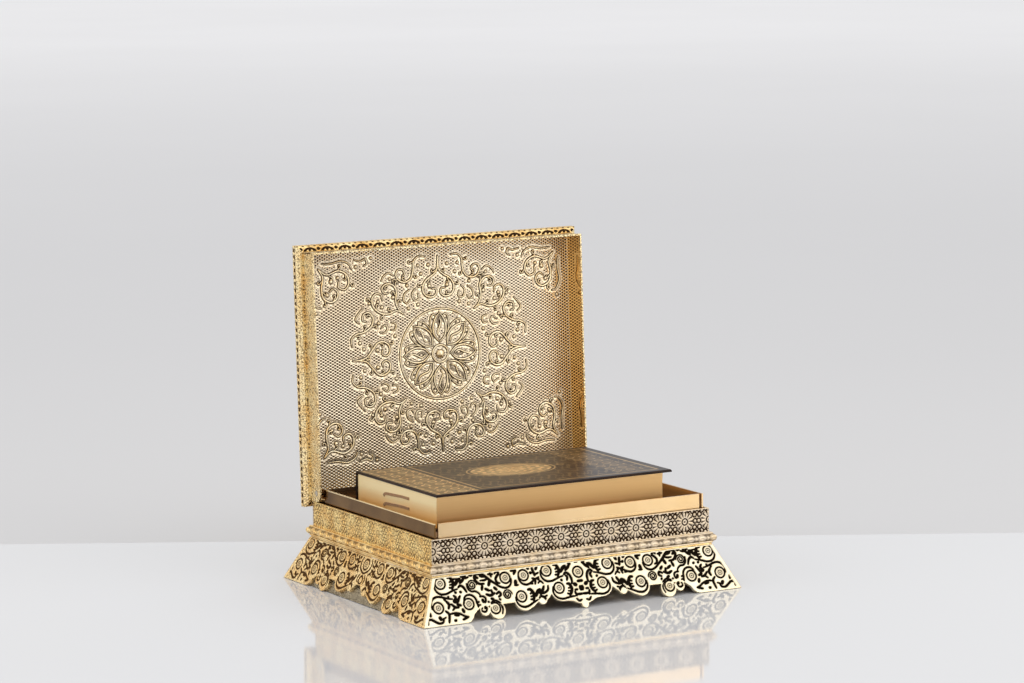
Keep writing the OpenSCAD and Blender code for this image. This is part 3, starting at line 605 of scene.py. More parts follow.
# Places of scrolls, from the foot's corner: (distance, distance below the top edge, turn, size across,
# size down, strokes used)
CORNER_SCROLLS = [(25.5, 7.2, 0, 1, 1, 8), (18.5, 28.5, 0, 1, -1, 1), (48.8, 28.2, 0, 1, 1, 0),
                  (73.8, 34.8, 0, 1, 1, 0), (90, 9, 20, -1, 0.95, 1), (108.5, 8.7, -10, 0.9, 0.9, 1),
                  (102, 27.4, -6, 1, 1, 8)]
# The same from the panel's middle, for a long and a short panel
MIDDLE_SCROLLS = [(31.4, 7.2, 0, 1, 1, 8), (22.4, 24, 10, 1, 1, 5), (0, 11.7, 0, 1, 1, 0)]
SIDE_SCROLLS = [(0, 9, 0, 1, 1, 0)]
# Spirals: (distance from the corner, distance below the top edge, radius)
SPIRALS = [(56, 12, 4.7), (88.7, 24.2, 4.6)]
# Leaves and tendrils between them, from the corner and from the middle: (width, points)
CORNER_LEAVES = [
    # beside the upper scroll
    (1.2, [(38.2, 4.4), (43, 4.8)]), (2.0, [(47, 3.2), (50.6, 3), (51.4, 5.2)]),
    (1.3, [(52.4, 5), (54.2, 4.2)]),
    (2.6, [(55.6, 2.3), (57.6, 2.7)]), (1.8, [(38, 16.4), (39, 16.8)]), (1.8, [(43, 16.6), (44, 17)]),
    # spray beside the spiral
    (1.4, [(51, 10), (51.4, 14.6), (54, 17.2), (58, 17.8), (61, 20), (62, 22.4)]),
    (2.0, [(68, 12), (63.4, 11.4), (60.4, 8), (60.4, 4.2), (63.4, 2.4), (67.4, 3.2), (71, 5.8), (74.6, 9.4),
           (79.4, 13.2)]),
    (1.8, [(61.8, 5.4), (63.2, 6.2)]), (1.8, [(65.6, 4.6), (69.6, 5.8)]),
    (1.5, [(65, 8.8), (69.4, 8.8), (73, 7.4)]),
    (2.2, [(74, 10.4), (72.2, 14)]), (1.6, [(76, 2.4), (76.6, 6.6)]), (1.5, [(73.8, 4), (78.6, 4.4)]),
    (1.8, [(80.6, 4), (82.6, 2.4), (84.4, 4.4), (82.2, 6.6), (80.4, 9.4), (81.4, 12.4), (83.6, 13.2)]),
    (2.0, [(66, 13.6), (64.6, 17.2)]), (2.0, [(68, 16.6), (71.6, 18.6)]), (2.0, [(77, 16.4), (79.2, 18.6)]),
    (1.8, [(73.6, 18.2), (74.6, 22.2)]), (2.0, [(68, 21.6), (72, 23), (76.4, 21.4)]),
    (1.5, [(68.2, 28.4), (69, 28.8)]),
    (1.5, [(61, 22.8), (64.6, 23.2), (66.4, 25.4), (65.4, 28.4), (63.2, 27.6)]),
    (2.2, [(63.2, 25.8), (63.6, 28)]),
    (2.0, [(72, 26), (74, 26.8)]), (1.8, [(78, 22.4), (81, 21), (82.2, 23.4), (79.6, 25.2)]),
    (1.6, [(79.8, 27.2), (80.8, 28)]),
    # round the eyes in the scallops
    (1.5, [(44.6, 27), (45.8, 22.4), (49, 20.2), (53.4, 20.8), (56.4, 24), (57.2, 28.6), (58.4, 33.4),
           (61.4, 36.6), (64.4, 36.4), (66, 32.8)]),
    (1.3, [(57, 27), (59.4, 27.6)]), (1.3, [(57.6, 30), (60.2, 30.4)]), (1.4, [(58.8, 33.2), (61.2, 33.6)]),
    (1.8, [(64.6, 31.8), (63.8, 34)]),
    (1.4, [(70.8, 29.4), (75.2, 28), (79.4, 30.6), (81, 35.4), (79.6, 40.4)]),
    # in the foot
    (2.0, [(9, 32), (9.5, 35)]),
    (1.7, [(5.4, 42), (6, 38.4), (9, 37.8), (12, 39.6), (16, 42), (20, 41.6), (21.6, 38.8)]),
    (2.4, [(17.8, 36.8), (19, 39)]), (1.2, [(20.4, 38.6), (24, 37.6)]),
    (1.8, [(25, 32), (27.6, 35), (27, 39), (26, 42.4)]),
    (1.5, [(27.6, 35.4), (33, 34.6), (38.4, 36), (42, 38.2), (46, 39.6)]),
    (1.3, [(32.6, 36.6), (37, 37.4)]),
    (1.7, [(45.6, 39.6), (40, 41.2)]), (2.0, [(32, 41.2), (33.2, 41.2)]),
    (2.0, [(27.6, 23.4), (29.6, 26.6), (28.4, 30)]),
    (1.4, [(25.6, 21.4), (27.6, 23.2)]), (1.4, [(30.2, 19.4), (31, 19.8)]),
    (2.0, [(37.6, 27.4), (41, 28.6)]),
    (2.0, [(36, 19.2), (37.6, 21.4), (35.2, 24.4), (38.4, 25), (40.6, 22), (42, 20.2)]),
    (2.2, [(41.8, 32.2), (42.6, 34.8)]),
    (1.8, [(31.8, 26.4), (35, 29.4), (38.4, 30.2)]), (1.4, [(35, 29.8), (32, 32)]),
    # between the scrolls further along
    (2.0, [(97, 3.4), (101.2, 3.6), (99.4, 6.6)]), (2.4, [(99.6, 12.8), (99, 16)]),
    (1.4, [(97.8, 16.8), (101.4, 16.8)]),
    (1.8, [(113.6, 3), (115, 3.4)]), (2.0, [(118.4, 2.6), (119, 6.2), (119.8, 10.2)]),
    (2.0, [(115.6, 7.2), (116.6, 7.6)]),
    (2.0, [(123.4, 2.8), (121.8, 4.8)]), (1.4, [(120.6, 9.2), (124, 8)]),
    (1.8, [(116.6, 12.4), (119.2, 14), (118.4, 17.8)]),
    (1.8, [(113.6, 16.4), (116, 17.2)]), (1.8, [(122, 13.8), (123, 14)]),
    (1.4, [(121.4, 17.4), (124, 15.8), (126.4, 18.2)]),
    (1.7, [(120.6, 26.6), (125, 26.8), (129.4, 24.6), (130.6, 20.8)]), (1.4, [(125, 30.2), (127.4, 29.4)]),
]
MIDDLE_LEAVES = [
    (1.8, [(8.4, 2.4), (6, 3.8)]), (1.8, [(1.4, 2.2), (0, 2.2)]), (1.8, [(18.6, 17), (17.8, 17.6)]),
    (1.8, [(13.4, 13.4), (11.8, 15), (12.8, 18)]), (1.6, [(9, 14), (8, 19), (8.8, 21.6)]),
    (2.6, [(6.6, 22.2), (4.6, 23.2)]),
    (2.0, [(2.4, 20), (0, 20)]), (2.4, [(1, 25), (0.8, 28)]), (1.7, [(6.8, 27.4), (4.4, 27.4)]),
    (1.7, [(7.4, 29), (6.4, 33)]),
    (1.7, [(6, 31.8), (0, 31.8)]), (1.6, [(7.4, 35.4), (5.2, 37.8), (2.4, 37)]),
]
SIDE_LEAVES = [
    (1.5, [(7.5, 2.5), (9.5, 7.5), (8, 13), (4, 16), (0, 17.5)]),
    (1.5, [(0, 19.5), (2.6, 22), (3, 25.5), (0, 28)]),
    (1.4, [(4.5, 19), (6.5, 22.5), (5.5, 26.5)]),
]
GROOVE_WIDTH = 1.4
GROOVE_DEPTH, FINE_DEPTH = 0.9, 0.2
EYE_R, PUPIL_R, DISC_R = 4.9, 2.1, 3.4
CORNER_STRIP = 3.6
STAND_T = 3.0
# Scallops of the lower edge, from the corner: (distance, height up the slope, radius)
CORNER_LOBES = [(63.3, 9.4, 4.9), (75.5, 8.0, 7.8), (90.4, 20.0, 7.0), (103.5, 13.8, 9.3), (122.0, 12.8, 4.6)]
CORNER_EDGE = [(0.0, 0.0), (43.5, 0.0), (47.5, 1.2), (50.3, 3.8), (52.2, 7.2), (56.0, 10.2), (60.0, 13.0),
               (97.0, 13.0), (103.0, 4.6), (106.5, 5.0), (112.5, 7.6), (118.4, 11.6), (120.0, 15.0),
               (126.0, 11.2), (129.5, 13.6), (132.3, 16.3)]
MIDDLE_EDGE = [(31.2, 16.3), (29.6, 13.0), (26.6, 10.3), (22.5, 8.8), (14.0, 8.3), (11.5, 7.6), (8.0, 5.8),
               (4.4, 4.6), (-4.4, 4.6)]
# Drop in the middle of a long panel: (height up the slope, radius)
PENDANT = (3.9, 3.6)


def polygon_gap(x, y, corners):
    """Signed distance to a polygon's edge, below zero inside."""
    c = np.array(corners, float)
    best = np.full(x.shape, 1e9)
    inside = np.zeros(x.shape, bool)
    for (ax, ay), (bx, by) in zip(c, np.roll(c, -1, axis=0)):
        ex, ey = bx - ax, by - ay
        t = np.clip(((x - ax) * ex + (y - ay) * ey) / max(ex * ex + ey * ey, 1e-9), 0, 1)
        best = np.minimum(best, (x - ax - t * ex) ** 2 + (y - ay - t * ey) ** 2)
        if ay != by:
            cross = ((ay > y) != (by > y)) & (x < (bx - ax) * (y - ay) / (by - ay) + ax)
            inside ^= cross
    return np.where(inside, -1.0, 1.0) * np.sqrt(best)


def stand_outline(half_foot, long_side):
    corners = list(CORNER_EDGE)
    if long_side:
        corners += [(half_foot - u, s) for u, s in MIDDLE_EDGE]
    past, above = half_foot + 30.0, SLOPE_L + 4
    corners += [(past, corners[-1][1]), (past, above), (SLOPE_RUN * (1 + 4 / SLOPE_L), above)]
    top = SLOPE_L * STAND_H / FLOOR_TOP

    def signed(u, v):
        s = v + SLOPE_L / 2
        d = half_foot - np.abs(u)
        gap = polygon_gap(d, s, corners)
        for x, y, r in CORNER_LOBES:
            gap = np.minimum(gap, np.hypot(d - x, s - y) - r)
        if long_side:
            gap = np.minimum(gap, np.hypot(u, s - PENDANT[0]) - PENDANT[1])
        return np.maximum(gap, np.maximum(s - top, 0.02 - s))
    return signed


def ring_points(x, y, r, turns=1.0, inner=None):
    """Circle, or a spiral that winds in to the inner radius."""
    turn = np.linspace(0, 2 * math.pi * turns, int(40 * turns))
    radius = np.linspace(r, r if inner is None else inner, len(turn))
    return np.column_stack([x + radius * np.cos(turn), y + radius * np.sin(turn)])


def stand_grooves(half_foot, long_side):
    """Drawings of the grooves and of the eyes' fine lines on half a panel, and the eyes themselves."""
    drawing = Drawing(0, 0, half_foot + 2, SLOPE_L)
    fine = Drawing(0, 0, half_foot + 2, SLOPE_L)
    middle, leaves = (MIDDLE_SCROLLS, MIDDLE_LEAVES) if long_side else (SIDE_SCROLLS, SIDE_LEAVES)
    reach = half_foot if long_side else half_foot - 9.0
    strokes = [(w, path) for w, path in CORNER_LEAVES if max(d for d, _ in path) < reach]
    strokes += [(w, [(half_foot - u, v) for u, v in path]) for w, path in leaves]
    eyes = CORNER_SCROLLS + [(half_foot - u, *rest) for u, *rest in middle]
    for d, v, angle, across, down, count in eyes:
        for width, path in SCROLL[:count]:
            path = turned([(x * across, y * down) for x, y in path], math.radians(angle))
            strokes.append((width, [(d + x, v + y) for x, y in path]))
        drawing.line(1.6, ring_points(d, SLOPE_L - v, EYE_R), 0.0)
        fine.line(0.7, ring_points(d, SLOPE_L - v, PUPIL_R), 0.0)
        fine.line(1.1, [(d - 0.3, SLOPE_L - v), (d + 0.3, SLOPE_L - v)], 0.0)
    for d, v, r in SPIRALS:
        drawing.line(1.4, ring_points(d, SLOPE_L - v, r, 2.1, 0.8), 0.2)
    for width, path in strokes:
        drawing.line(GROOVE_WIDTH * width, [(d, SLOPE_L - v) for d, v in path])
    return drawing, fine, eyes


def stand_panel(side, half_foot, foot_dist, long_side, mat):
    step = 0.52
    bm = lay_sheet(2 * half_foot, SLOPE_L, step)
    outline = stand_outline(half_foot, long_side)
    trim_sheet(bm, outline, step)
    close_back(bm, STAND_T)
    mark_back(bm, STAND_T - 0.1)
    p = flat_points(bm)
    front = p[:, 2] > -0.5
    u, s = p[:, 0], p[:, 1] + SLOPE_L / 2
    d = half_foot - np.abs(u)
    drawing, fine, eyes = stand_grooves(half_foot, long_side)
    inner = -outline(u, p[:, 1])
    gap = drawing.read(d, s)
    from_mitre = d - SLOPE_RUN * s / SLOPE_L
    worked = np.clip((inner - 0.7) / 0.5, 0, 1) * np.clip((from_mitre - CORNER_STRIP) / 0.5, 0, 1)
    groove = edge(gap) * worked
    thin = edge(fine.read(d, s), 0.5)
    disc = np.max([np.hypot(d - eye[0], s - SLOPE_L + eye[1]) < DISC_R for eye in eyes], axis=0)
    height = -GROOVE_DEPTH * groove - FINE_DEPTH * thin - 0.25 * np.clip(1 - inner / 0.5, 0, 1)
    height -= 0.12 * np.clip((inner - 2.2) / 0.6, 0, 1)
    recess_and_shade = np.maximum.reduce([groove, 0.7 * thin, 0.36 * disc])
    # the back is drawn in at the mitres, and nothing goes below the table
    mitre = np.abs(from_mitre) < 0.3
    p[~front & mitre, 0] -= np.sign(u[~front & mitre]) * 3.1
    p[front, 2] = height[front]
    s = np.maximum(s, (0.01 - p[:, 2] * LEAN_SIN) / LEAN_COS)
    points = np.column_stack([p[:, 0], s, p[:, 2]])
    place = side_turn(side) @ axes_at((0, -foot_dist, 0), (1, 0, 0), (0, LEAN_SIN, LEAN_COS),
                                      (0, -LEAN_COS, LEAN_SIN))
    place_points(bm, points, place)
    keep_piece("stand_" + side, bm, (mat, raw_sheet), "base", ["skirt_" + side],
               {"recess_and_shade": np.where(front, recess_and_shade, 0.4)})


# painted light: the long panels take the pale copy of the gilt, as the front is lit; the short panels take
# the warmer, darker copy, as the sides are lit
for side in SIDES:
    half_l, dist, long_side = side_size(side)
    stand_panel(side, half_l + FLARE, dist + FLARE, long_side, pale_front_light_gilt if long_side else warm_side_light_gilt)


# Walls with rosettes and a lattice of rings
ROSETTE_PITCH, ROSETTE_HEIGHT, ROSETTE_PETALS = 25.9, 61.5, 13
WALL_T = 2.0
RING_R, RING_HALF = 2.05, 0.62
# Rings between two rosettes and beside one: (distance from the rosette, height)
RING_SPOTS = [(ROSETTE_PITCH / 2 - x, y)
              for x, y in [(1.95, 0.0), (2.6, 5.7), (2.6, -5.7), (2.1, 10.4), (2.1, -10.4)]]
RING_SPOTS += [(8.0, 9.3), (8.0, -9.3), (4.0, 10.9), (4.0, -10.9)]


def band_relief(u, z):
    """Groove depth, 0 to 1, and height of the wall's pattern."""
    du = (u / ROSETTE_PITCH) % 1.0 * ROSETTE_PITCH - ROSETTE_PITCH / 2
    dv = z - ROSETTE_HEIGHT
    r, turn = np.hypot(du, dv), np.arctan2(dv, du)
    t = (turn / (2 * math.pi) * ROSETTE_PETALS) % 1.0
    between = np.minimum(t, 1 - t) * 2 * math.pi * r / ROSETTE_PETALS
    slit = edge(between - (0.1 + 0.13 * np.clip(r - 4.0, 0, 4)), 0.3)
    slit *= np.clip((r - 3.9) / 0.6, 0, 1) * np.clip((8.2 - r) / 0.4, 0, 1)
    tips = edge(np.hypot(between, r - 7.9) - 0.75, 0.4)
    hub = edge(np.abs(r - 2.85) - 0.55, 0.4)
    rings = np.full(u.shape, 9.0)
    for x, y in RING_SPOTS:
        for sx in (-1, 1):
            rings = np.minimum(rings, np.abs(np.hypot(du - sx * x, dv - y) - RING_R) - RING_HALF)
    rings = edge(rings, 0.35) * (r > 7.2)
    scallop = edge(np.abs(r - 8.75 - 0.35 * np.cos(turn * ROSETTE_PETALS)) - 0.35, 0.35)
    scallop *= np.clip(np.abs(np.sin(turn)) * 2 - 0.6, 0, 1)
    groove = np.maximum.reduce([slit, tips, hub, edge(r - 0.7, 0.5), rings, scallop * 0.8])
    low, high = FLOOR_TOP + MOULDING_H + 0.5, BAND_TOP - 0.6
    inside = np.clip((z - low) / 0.4, 0, 1) * np.clip((high - z) / 0.4, 0, 1)
    groove = groove * inside
    dish = np.clip(1 - r / 2.3, 0, 1) * 0.25
    return groove, -0.7 * groove - dish * inside


def wall_band(side, half_l, dist, cut, depth, mat):
    step = 0.42
    length, height = 2 * (half_l - cut), BAND_TOP - FLOOR_TOP
    bm = lay_sheet(length, height, step)
    close_back(bm, WALL_T)
    p = flat_points(bm)
    front = p[:, 2] > -0.5
    z = p[:, 1] + height / 2 + FLOOR_TOP
    groove, relief = (depth * part for part in band_relief(p[:, 0], z))
    rim = np.minimum(length / 2 - np.abs(p[:, 0]), height / 2 - np.abs(p[:, 1]))
    relief = relief - 0.2 * np.clip(1 - rim / 0.4, 0, 1)
    p[front, 2] = relief[front]
    place = side_turn(side) @ axes_at((0, -dist, FLOOR_TOP + height / 2), (1, 0, 0), (0, 0, 1), (0, -1, 0))
    place_points(bm, p, place)
    keep_piece("wall_" + side, bm, mat, "base", ["band_" + side],
               {"recess_and_shade": np.where(front, groove, 0.3)})


# painted light: the long walls take the rose copy of the gilt, as the front is lit; the short walls take the
# brighter yellow copy, as the sides are lit
for side in SIDES:
    half_l, dist, long_side = side_size(side)
    if long_side:
        wall_band(side, half_l, dist, 0.0, 1.0, rose_front_light_gilt)
    else:
        wall_band(side, half_l, dist, WALL_T + 0.02, 0.5, grained_side_light_gilt)


# Bars that run round the box and the lid

def profiled_bar(profile, half_l, step):
    """Closed bar of a drawn profile, mitred at both ends, with its run and its place on the profile."""
    loop = smooth_loop(profile, 0.5)
    n = len(loop)
    bm = bmesh.new()
    bmesh.ops.create_grid(bm, x_segments=round(2 * half_l / step), y_segments=n, size=0.5)
    p = flat_points(bm)
    k = np.rint((p[:, 1] + 0.5) * n).astype(int) % n
    run = 2 * p[:, 0]
    out, up = loop[k, 0], loop[k, 1]
    for v, x, y, z in zip(bm.verts, run * (half_l + out), out, up):
        v.co = (x, y, z)
    bmesh.ops.remove_doubles(bm, verts=bm.verts, dist=0.001)
    ends = [e for e in bm.edges if e.is_boundary]
    bmesh.ops.holes_fill(bm, edges=ends, sides=0)
    for f in bm.faces:
        f.smooth = len(f.verts) <= 4
    for e in ends:
        e.smooth = False
    bm.verts.index_update()
    return bm


def smooth_loop(corners, gap):
    """Evenly spaced points round a closed profile, with every corner kept."""
    rows = []
    c = np.array(corners, float)
    for a, b in zip(c, np.roll(c, -1, axis=0)):
        n = max(1, int(round(np.hypot(*(b - a)) / gap)))
        rows.append(a + (b - a) * np.linspace(0, 1, n, endpoint=False)[:, None])
    return np.vstack(rows)


def arc(cx, cy, r, start, end, n=14):
    turn = np.radians(np.linspace(start, end, n))
    return [(cx + r * math.cos(t), cy + r * math.sin(t)) for t in turn]


MOULDING_PROFILE = ([(0, 0), (2.4, 0)] + arc(1.35, MOULDING_H / 2, 3.65, -73, 73)
                    + [(2.4, MOULDING_H), (0, MOULDING_H)])
CORNICE_PROFILE = ([(-4, 7), (0, 7), (0, 0), (2.9, 0)] + arc(2.9, 3.9, 2.9, -80, 62)
                   + [(5.1, 6.7), (5.8, 7.2), (5.8, 9), (-4, 9)])


BAR_STEP = 0.6
PANEL_T = 2.0
CORNICE_Z = RIM_Z + LID_DEPTH + PANEL_T - 7.0


def bar_piece(name, bm, shape, place, mat, body, node):
    p = flat_points(bm)
    moved, recess_and_shade = shape(p[:, 0], p[:, 1], p[:, 2])
    # the bar runs along x, out goes to -y
    points = np.column_stack([moved[0], -moved[1], moved[2]])
    place_points(bm, points, place)
    bmesh.ops.recalc_face_normals(bm, faces=bm.faces)
    keep_piece(name, bm, mat, body, [node], {"recess_and_shade": recess_and_shade})


def bead_shape(u, out, up):
    """Leaf-and-bead run on the round of the moulding, with dark gaps."""
    pitch, off = 12.6, up - MOULDING_H / 2
    on_round = np.clip((out - 2.5) / 0.5, 0, 1)
    w = np.abs((u / pitch) % 1.0 - 0.5) * pitch
    leaf = 2.6 * (np.hypot(w / 4.1, off / 3.0) - 1.0)
    bead = np.hypot(w - pitch / 2, off) - 1.7
    gap = (1 - edge(np.minimum(leaf, bead), 0.6)) * on_round
    vein = edge(np.hypot(np.maximum(w - 1.6, 0), off) - 0.45, 0.5) * on_round
    return (u, out - gap - 0.4 * vein, up), np.maximum(0.47 * gap, 0.5 * vein)


def toothed_shape(u, out, up):
    """Dark teeth in the lip behind the nose of the cornice."""
    pitch, lip_middle = 6.1, 7.5
    lip = edge(np.abs(up - lip_middle) - 0.75, 0.4) * (out > 4.6)
    t = np.abs((u / pitch) % 1.0 - 0.5) * pitch
    notch = np.clip((t - 1.2 - 0.5 * (up - lip_middle)) / 0.5, 0, 1) * lip
    return (u, out - notch, up), notch


def cresting_shape(u, out, up):
    """The teeth, and arches under the nose."""
    pitch, crest_pitch = 18.0, 6.0
    w = (u / pitch) % 1.0 * pitch - pitch / 2
    under = (up < 3.9) & (out > 0.2)
    arch = np.hypot(w / 1.75, out - 0.2)
    arch = edge(np.abs(arch - 2.9) - 0.85, 0.45) * (np.abs(w) < 7.0)
    crest = edge(np.abs((u / crest_pitch) % 1.0 - 0.5) * crest_pitch - 1.2, 0.5)
    crest *= edge(np.abs(out - 5.0) - 0.45, 0.3) * 0.8
    drop = edge(np.hypot(w / 1.3, out - 1.5) - 1.1, 0.5)
    spur = edge(np.hypot((np.abs(w) - pitch / 2) / 1.2, out - 2.4) - 1.5, 0.5)
    work = np.maximum.reduce([arch, crest, drop, spur]) * under
    moved, notch = toothed_shape(u, out, up)
    return (u, moved[1], up + 0.5 * work), np.maximum(notch, work)


for side in SIDES:
    half_l, dist, long_side = side_size(side)
    place = side_turn(side) @ Matrix.Translation((0, -dist, FLOOR_TOP))
    # painted light: the long mouldings take the rose copy of the gilt, as the front is lit; the short ones
    # take the warm copy, as the sides are lit
    bar_piece("bead_moulding_" + side, profiled_bar(MOULDING_PROFILE, half_l, BAR_STEP), bead_shape, place,
              rose_front_light_gilt if long_side else warm_gilt, "base", "moulding_" + side)
    place = LID_OPEN @ side_turn(side) @ Matrix.Translation((0, -dist, CORNICE_Z))
    bar_piece("lid_cornice_" + side, profiled_bar(CORNICE_PROFILE, half_l, BAR_STEP),
              cresting_shape if long_side else toothed_shape, place,
              warm_gilt if long_side else studded_gilt, "lid", "cornice_" + side)


# Lid walls: arches and dots over a grained ground
LID_WALL_T, ROD_BORE_R = 1.5, 2.6


def lid_wall_relief(u, v):
    pitch, dot_pitch = 12.4, 3.1
    t = (u / pitch) % 1.0 * pitch - pitch / 2
    drop = 2.3 * (np.hypot(t / 2.3, (v - 9.5) / 6.0) - 1.0)
    scroll = np.abs(np.hypot(np.abs(t) - pitch / 2, v - 6.0) - 2.4) - 0.5
    leaf = np.abs(np.hypot((np.abs(t) - pitch / 2) / 0.7, v - 13.4) - 3.6) - 0.6
    dots = np.hypot((u / dot_pitch) % 1.0 * dot_pitch - dot_pitch / 2, v - 2.4) - 0.6
    groove = edge(np.minimum.reduce([drop, scroll, leaf, dots]), 0.5)
    return groove * np.clip((v - 1.3) / 0.4, 0, 1) * np.clip((19.0 - v) / 0.4, 0, 1)


def lid_wall(side, half_l, dist, cut, hinge_end):
    """Wall of the lid, cut back at its ends; hinge_end says which end has the bore and the round heel."""
    step = 0.5
    length, height = 2 * half_l - sum(cut), LID_DEPTH
    shift = (cut[0] - cut[1]) / 2
    bm = lay_sheet(length, height, step)
    if hinge_end:
        reach = PIVOT.z - RIM_Z - 0.1

        def outline(x, y):
            along = hinge_end * (x + shift)
            z = y + height / 2 + RIM_Z
            from_rod = np.hypot(along - PIVOT.y, z - PIVOT.z)
            gap = np.maximum(np.abs(x) - length / 2, np.abs(y) - height / 2)
            heel = np.where((along > PIVOT.y) & (z < PIVOT.z), from_rod - reach, -9.0)
            return np.maximum.reduce([gap, heel, ROD_BORE_R - from_rod])
        trim_sheet(bm, outline, step)
    close_back(bm, LID_WALL_T, pierced=bool(hinge_end))
    mark_back(bm, LID_WALL_T - 0.1)
    p = flat_points(bm)
    front = p[:, 2] > -0.5
    groove = lid_wall_relief(p[:, 0] + shift, p[:, 1] + height / 2)
    groove *= 0.2 if hinge_end else 1.0
    p[front, 2] = (-0.55 * groove)[front]
    p[:, 0] += shift
    middle = (0, -dist, RIM_Z + height / 2)
    place = LID_OPEN @ side_turn(side) @ axes_at(middle, (1, 0, 0), (0, 0, 1), (0, -1, 0))
    place_points(bm, p, place)
    keep_piece("lid_side_" + side, bm, (studded_gilt, amber_sheet), "lid", ["lid_wall_" + side],
               {"recess_and_shade": np.where(front, groove, 0.0)})


lid_wall("front", HALF_W, HALF_D, (0.0, 0.0), 0)
lid_wall("left", HALF_D, HALF_W, (0.0, LID_WALL_T + 0.02), -1)
lid_wall("right", HALF_D, HALF_W, (LID_WALL_T + 0.02, 0.0), 1)


# Lid panel: raised scrolls on a woven ground, mirrored about the ornament's middle
PANEL_MIDDLE = 9.9
PANEL_RISE = 0.95
# Lines of a quarter of the panel, from the ornament's middle: (width, points)
PANEL_SCROLLS = [
    # heart above the middle, with its stem
    (2.2, [(0, 92), (0.3, 84), (1.6, 78), (6, 74), (12, 70.5), (16, 65), (16.2, 59), (12.6, 54.6),
           (6.5, 53.6), (2.2, 57), (3.2, 61.2), (7.2, 61.4)]),
    # scroll from the stem's side to its curl
    (2.0, [(14, 92), (20.5, 92.5), (25.4, 88), (26.2, 80), (29, 72.5), (35, 69.4), (41, 71), (44.4, 76),
           (42.6, 81), (37.6, 81), (35.4, 77), (38.2, 75)]),
    # heart on the diagonal
    (2.1, [(37.6, 39.8), (42.6, 44.6), (45.4, 52), (44.4, 62), (48.6, 67.8), (55, 69), (59.4, 65.4),
           (57.4, 60.4), (52.6, 60.4)]),
    (2.1, [(37.6, 39.8), (44.8, 43.4), (53.4, 41), (62, 42.4), (68.8, 48.4), (70.2, 56), (66.2, 60.6),
           (60.6, 59), (59.4, 54)]),
    # heart beside the middle
    (2.2, [(92, 0), (84, 0.4), (77.6, 2.2), (72.4, 7.4), (66, 14.4), (59.4, 15.4), (54, 11.6), (53.2, 5.6),
           (57, 2.2), (61.4, 4.4), (60.6, 8)]),
    # scroll beside it
    (2.0, [(92.4, 13), (92.8, 20), (87.6, 24.4), (79, 26), (71.6, 31), (69.6, 38.2), (73.8, 43.6),
           (79.4, 42.4), (80.6, 37), (76.6, 35.2)]),
    # corner heart with its tendrils
    (2.2, [(125, 87.4), (120.4, 79), (122, 69.4), (120.4, 60.4), (113.4, 56), (107, 58.4), (105.4, 64.6),
           (109.6, 68.4), (114, 66)]),
    (2.2, [(125, 87.4), (116.4, 81.6), (104.4, 84.6), (95.6, 80), (93.8, 72), (98.4, 66.8), (104.4, 69.4),
           (104, 75)]),
    (1.5, [(121, 92), (112, 91.6), (101, 93.4), (93, 90), (90.4, 84.6)]),
    (1.5, [(88, 93.6), (81, 92), (76, 94), (74.4, 89.6), (78, 87)]),
    (1.5, [(130, 82), (130, 71), (131.4, 61), (127.6, 52.6), (122.6, 51)]),
    # small curls that fill between
    (1.4, [(24, 63), (28, 58), (26, 52), (21, 53), (22, 58)]),
    (1.4, [(31, 62), (36, 58), (37, 52), (33, 49.6), (30.4, 53)]),
    (1.4, [(62, 28), (57, 31), (55, 27), (58.6, 23.6), (63, 24.6)]),
    (1.4, [(51, 33), (46, 31), (47, 26), (51.6, 26)]),
    (1.4, [(84, 34), (88, 38), (85, 43), (80.6, 47.6)]),
    (1.4, [(47, 76), (52, 79), (57, 76.6), (60, 72)]),
]
# Beads between them: (across, up, radius)
PANEL_BEADS = [(18, 76, 1.6), (21, 84, 1.4), (9.4, 64, 1.8), (10, 84, 1.6), (32, 44.6, 1.5), (48, 56, 1.8),
               (60, 47.6, 1.7), (64, 53, 1.5), (66, 8, 1.8), (80, 10, 1.5), (84, 16, 1.6), (64, 33, 1.5),
               (73, 52, 1.4), (51, 73.4, 1.4), (112, 75, 2.0), (105, 78, 1.6), (116, 62.6, 1.6),
               (86, 87, 1.5), (128, 46.6, 1.5), (70, 94, 1.4), (33, 66, 1.5), (47, 20, 1.6), (22, 47.4, 1.6)]
RIDGE_SHARE = 0.84
# Small curls that bud from the larger lines: (share of the line's length, side), and one curl's points
BUDS = [(0.2, 1), (0.36, -1), (0.5, 1), (0.66, -1)]
BUD_CURL = [(0, 0), (1.6, 1.9), (3.4, 3.0), (3.6, 4.8), (2.0, 5.2), (1.6, 4.0)]


def panel_lines():
    """The scrolls of a quarter of the panel, with small curls budding from the larger ones."""
    lines = list(PANEL_SCROLLS)
    for width, path in PANEL_SCROLLS:
        stem = smooth_path(path, 1.0)
        for share, side in BUDS if width > 1.9 else ():
            i = int(share * len(stem))
            along = (stem[i + 2] - stem[i - 2]) / np.hypot(*(stem[i + 2] - stem[i - 2]))
            away = side * np.array([-along[1], along[0]])
            lines.append((1.3, [stem[i] + a * along + b * away for a, b in BUD_CURL]))
    return lines


# Rosette in the middle: half of a petal's edge, the curl beside it, its vein, and rings as (radius, width)
PETAL_EDGE = [(11, 0), (17, 5.4), (25, 6.9), (33, 4.4), (38.4, 0)]
PETAL_CURL = [(21, 0), (29, 1.2), (35, 4.6), (36.8, 8.4), (33.4, 10), (31.2, 7.4), (33, 6)]
PETAL_VEIN = [(15.5, 0), (20, 2.2), (25, 0), (30, -1.6), (34, 0)]
ROSETTE_RINGS = [(8.2, 1.8), (42.4, 1.6)]


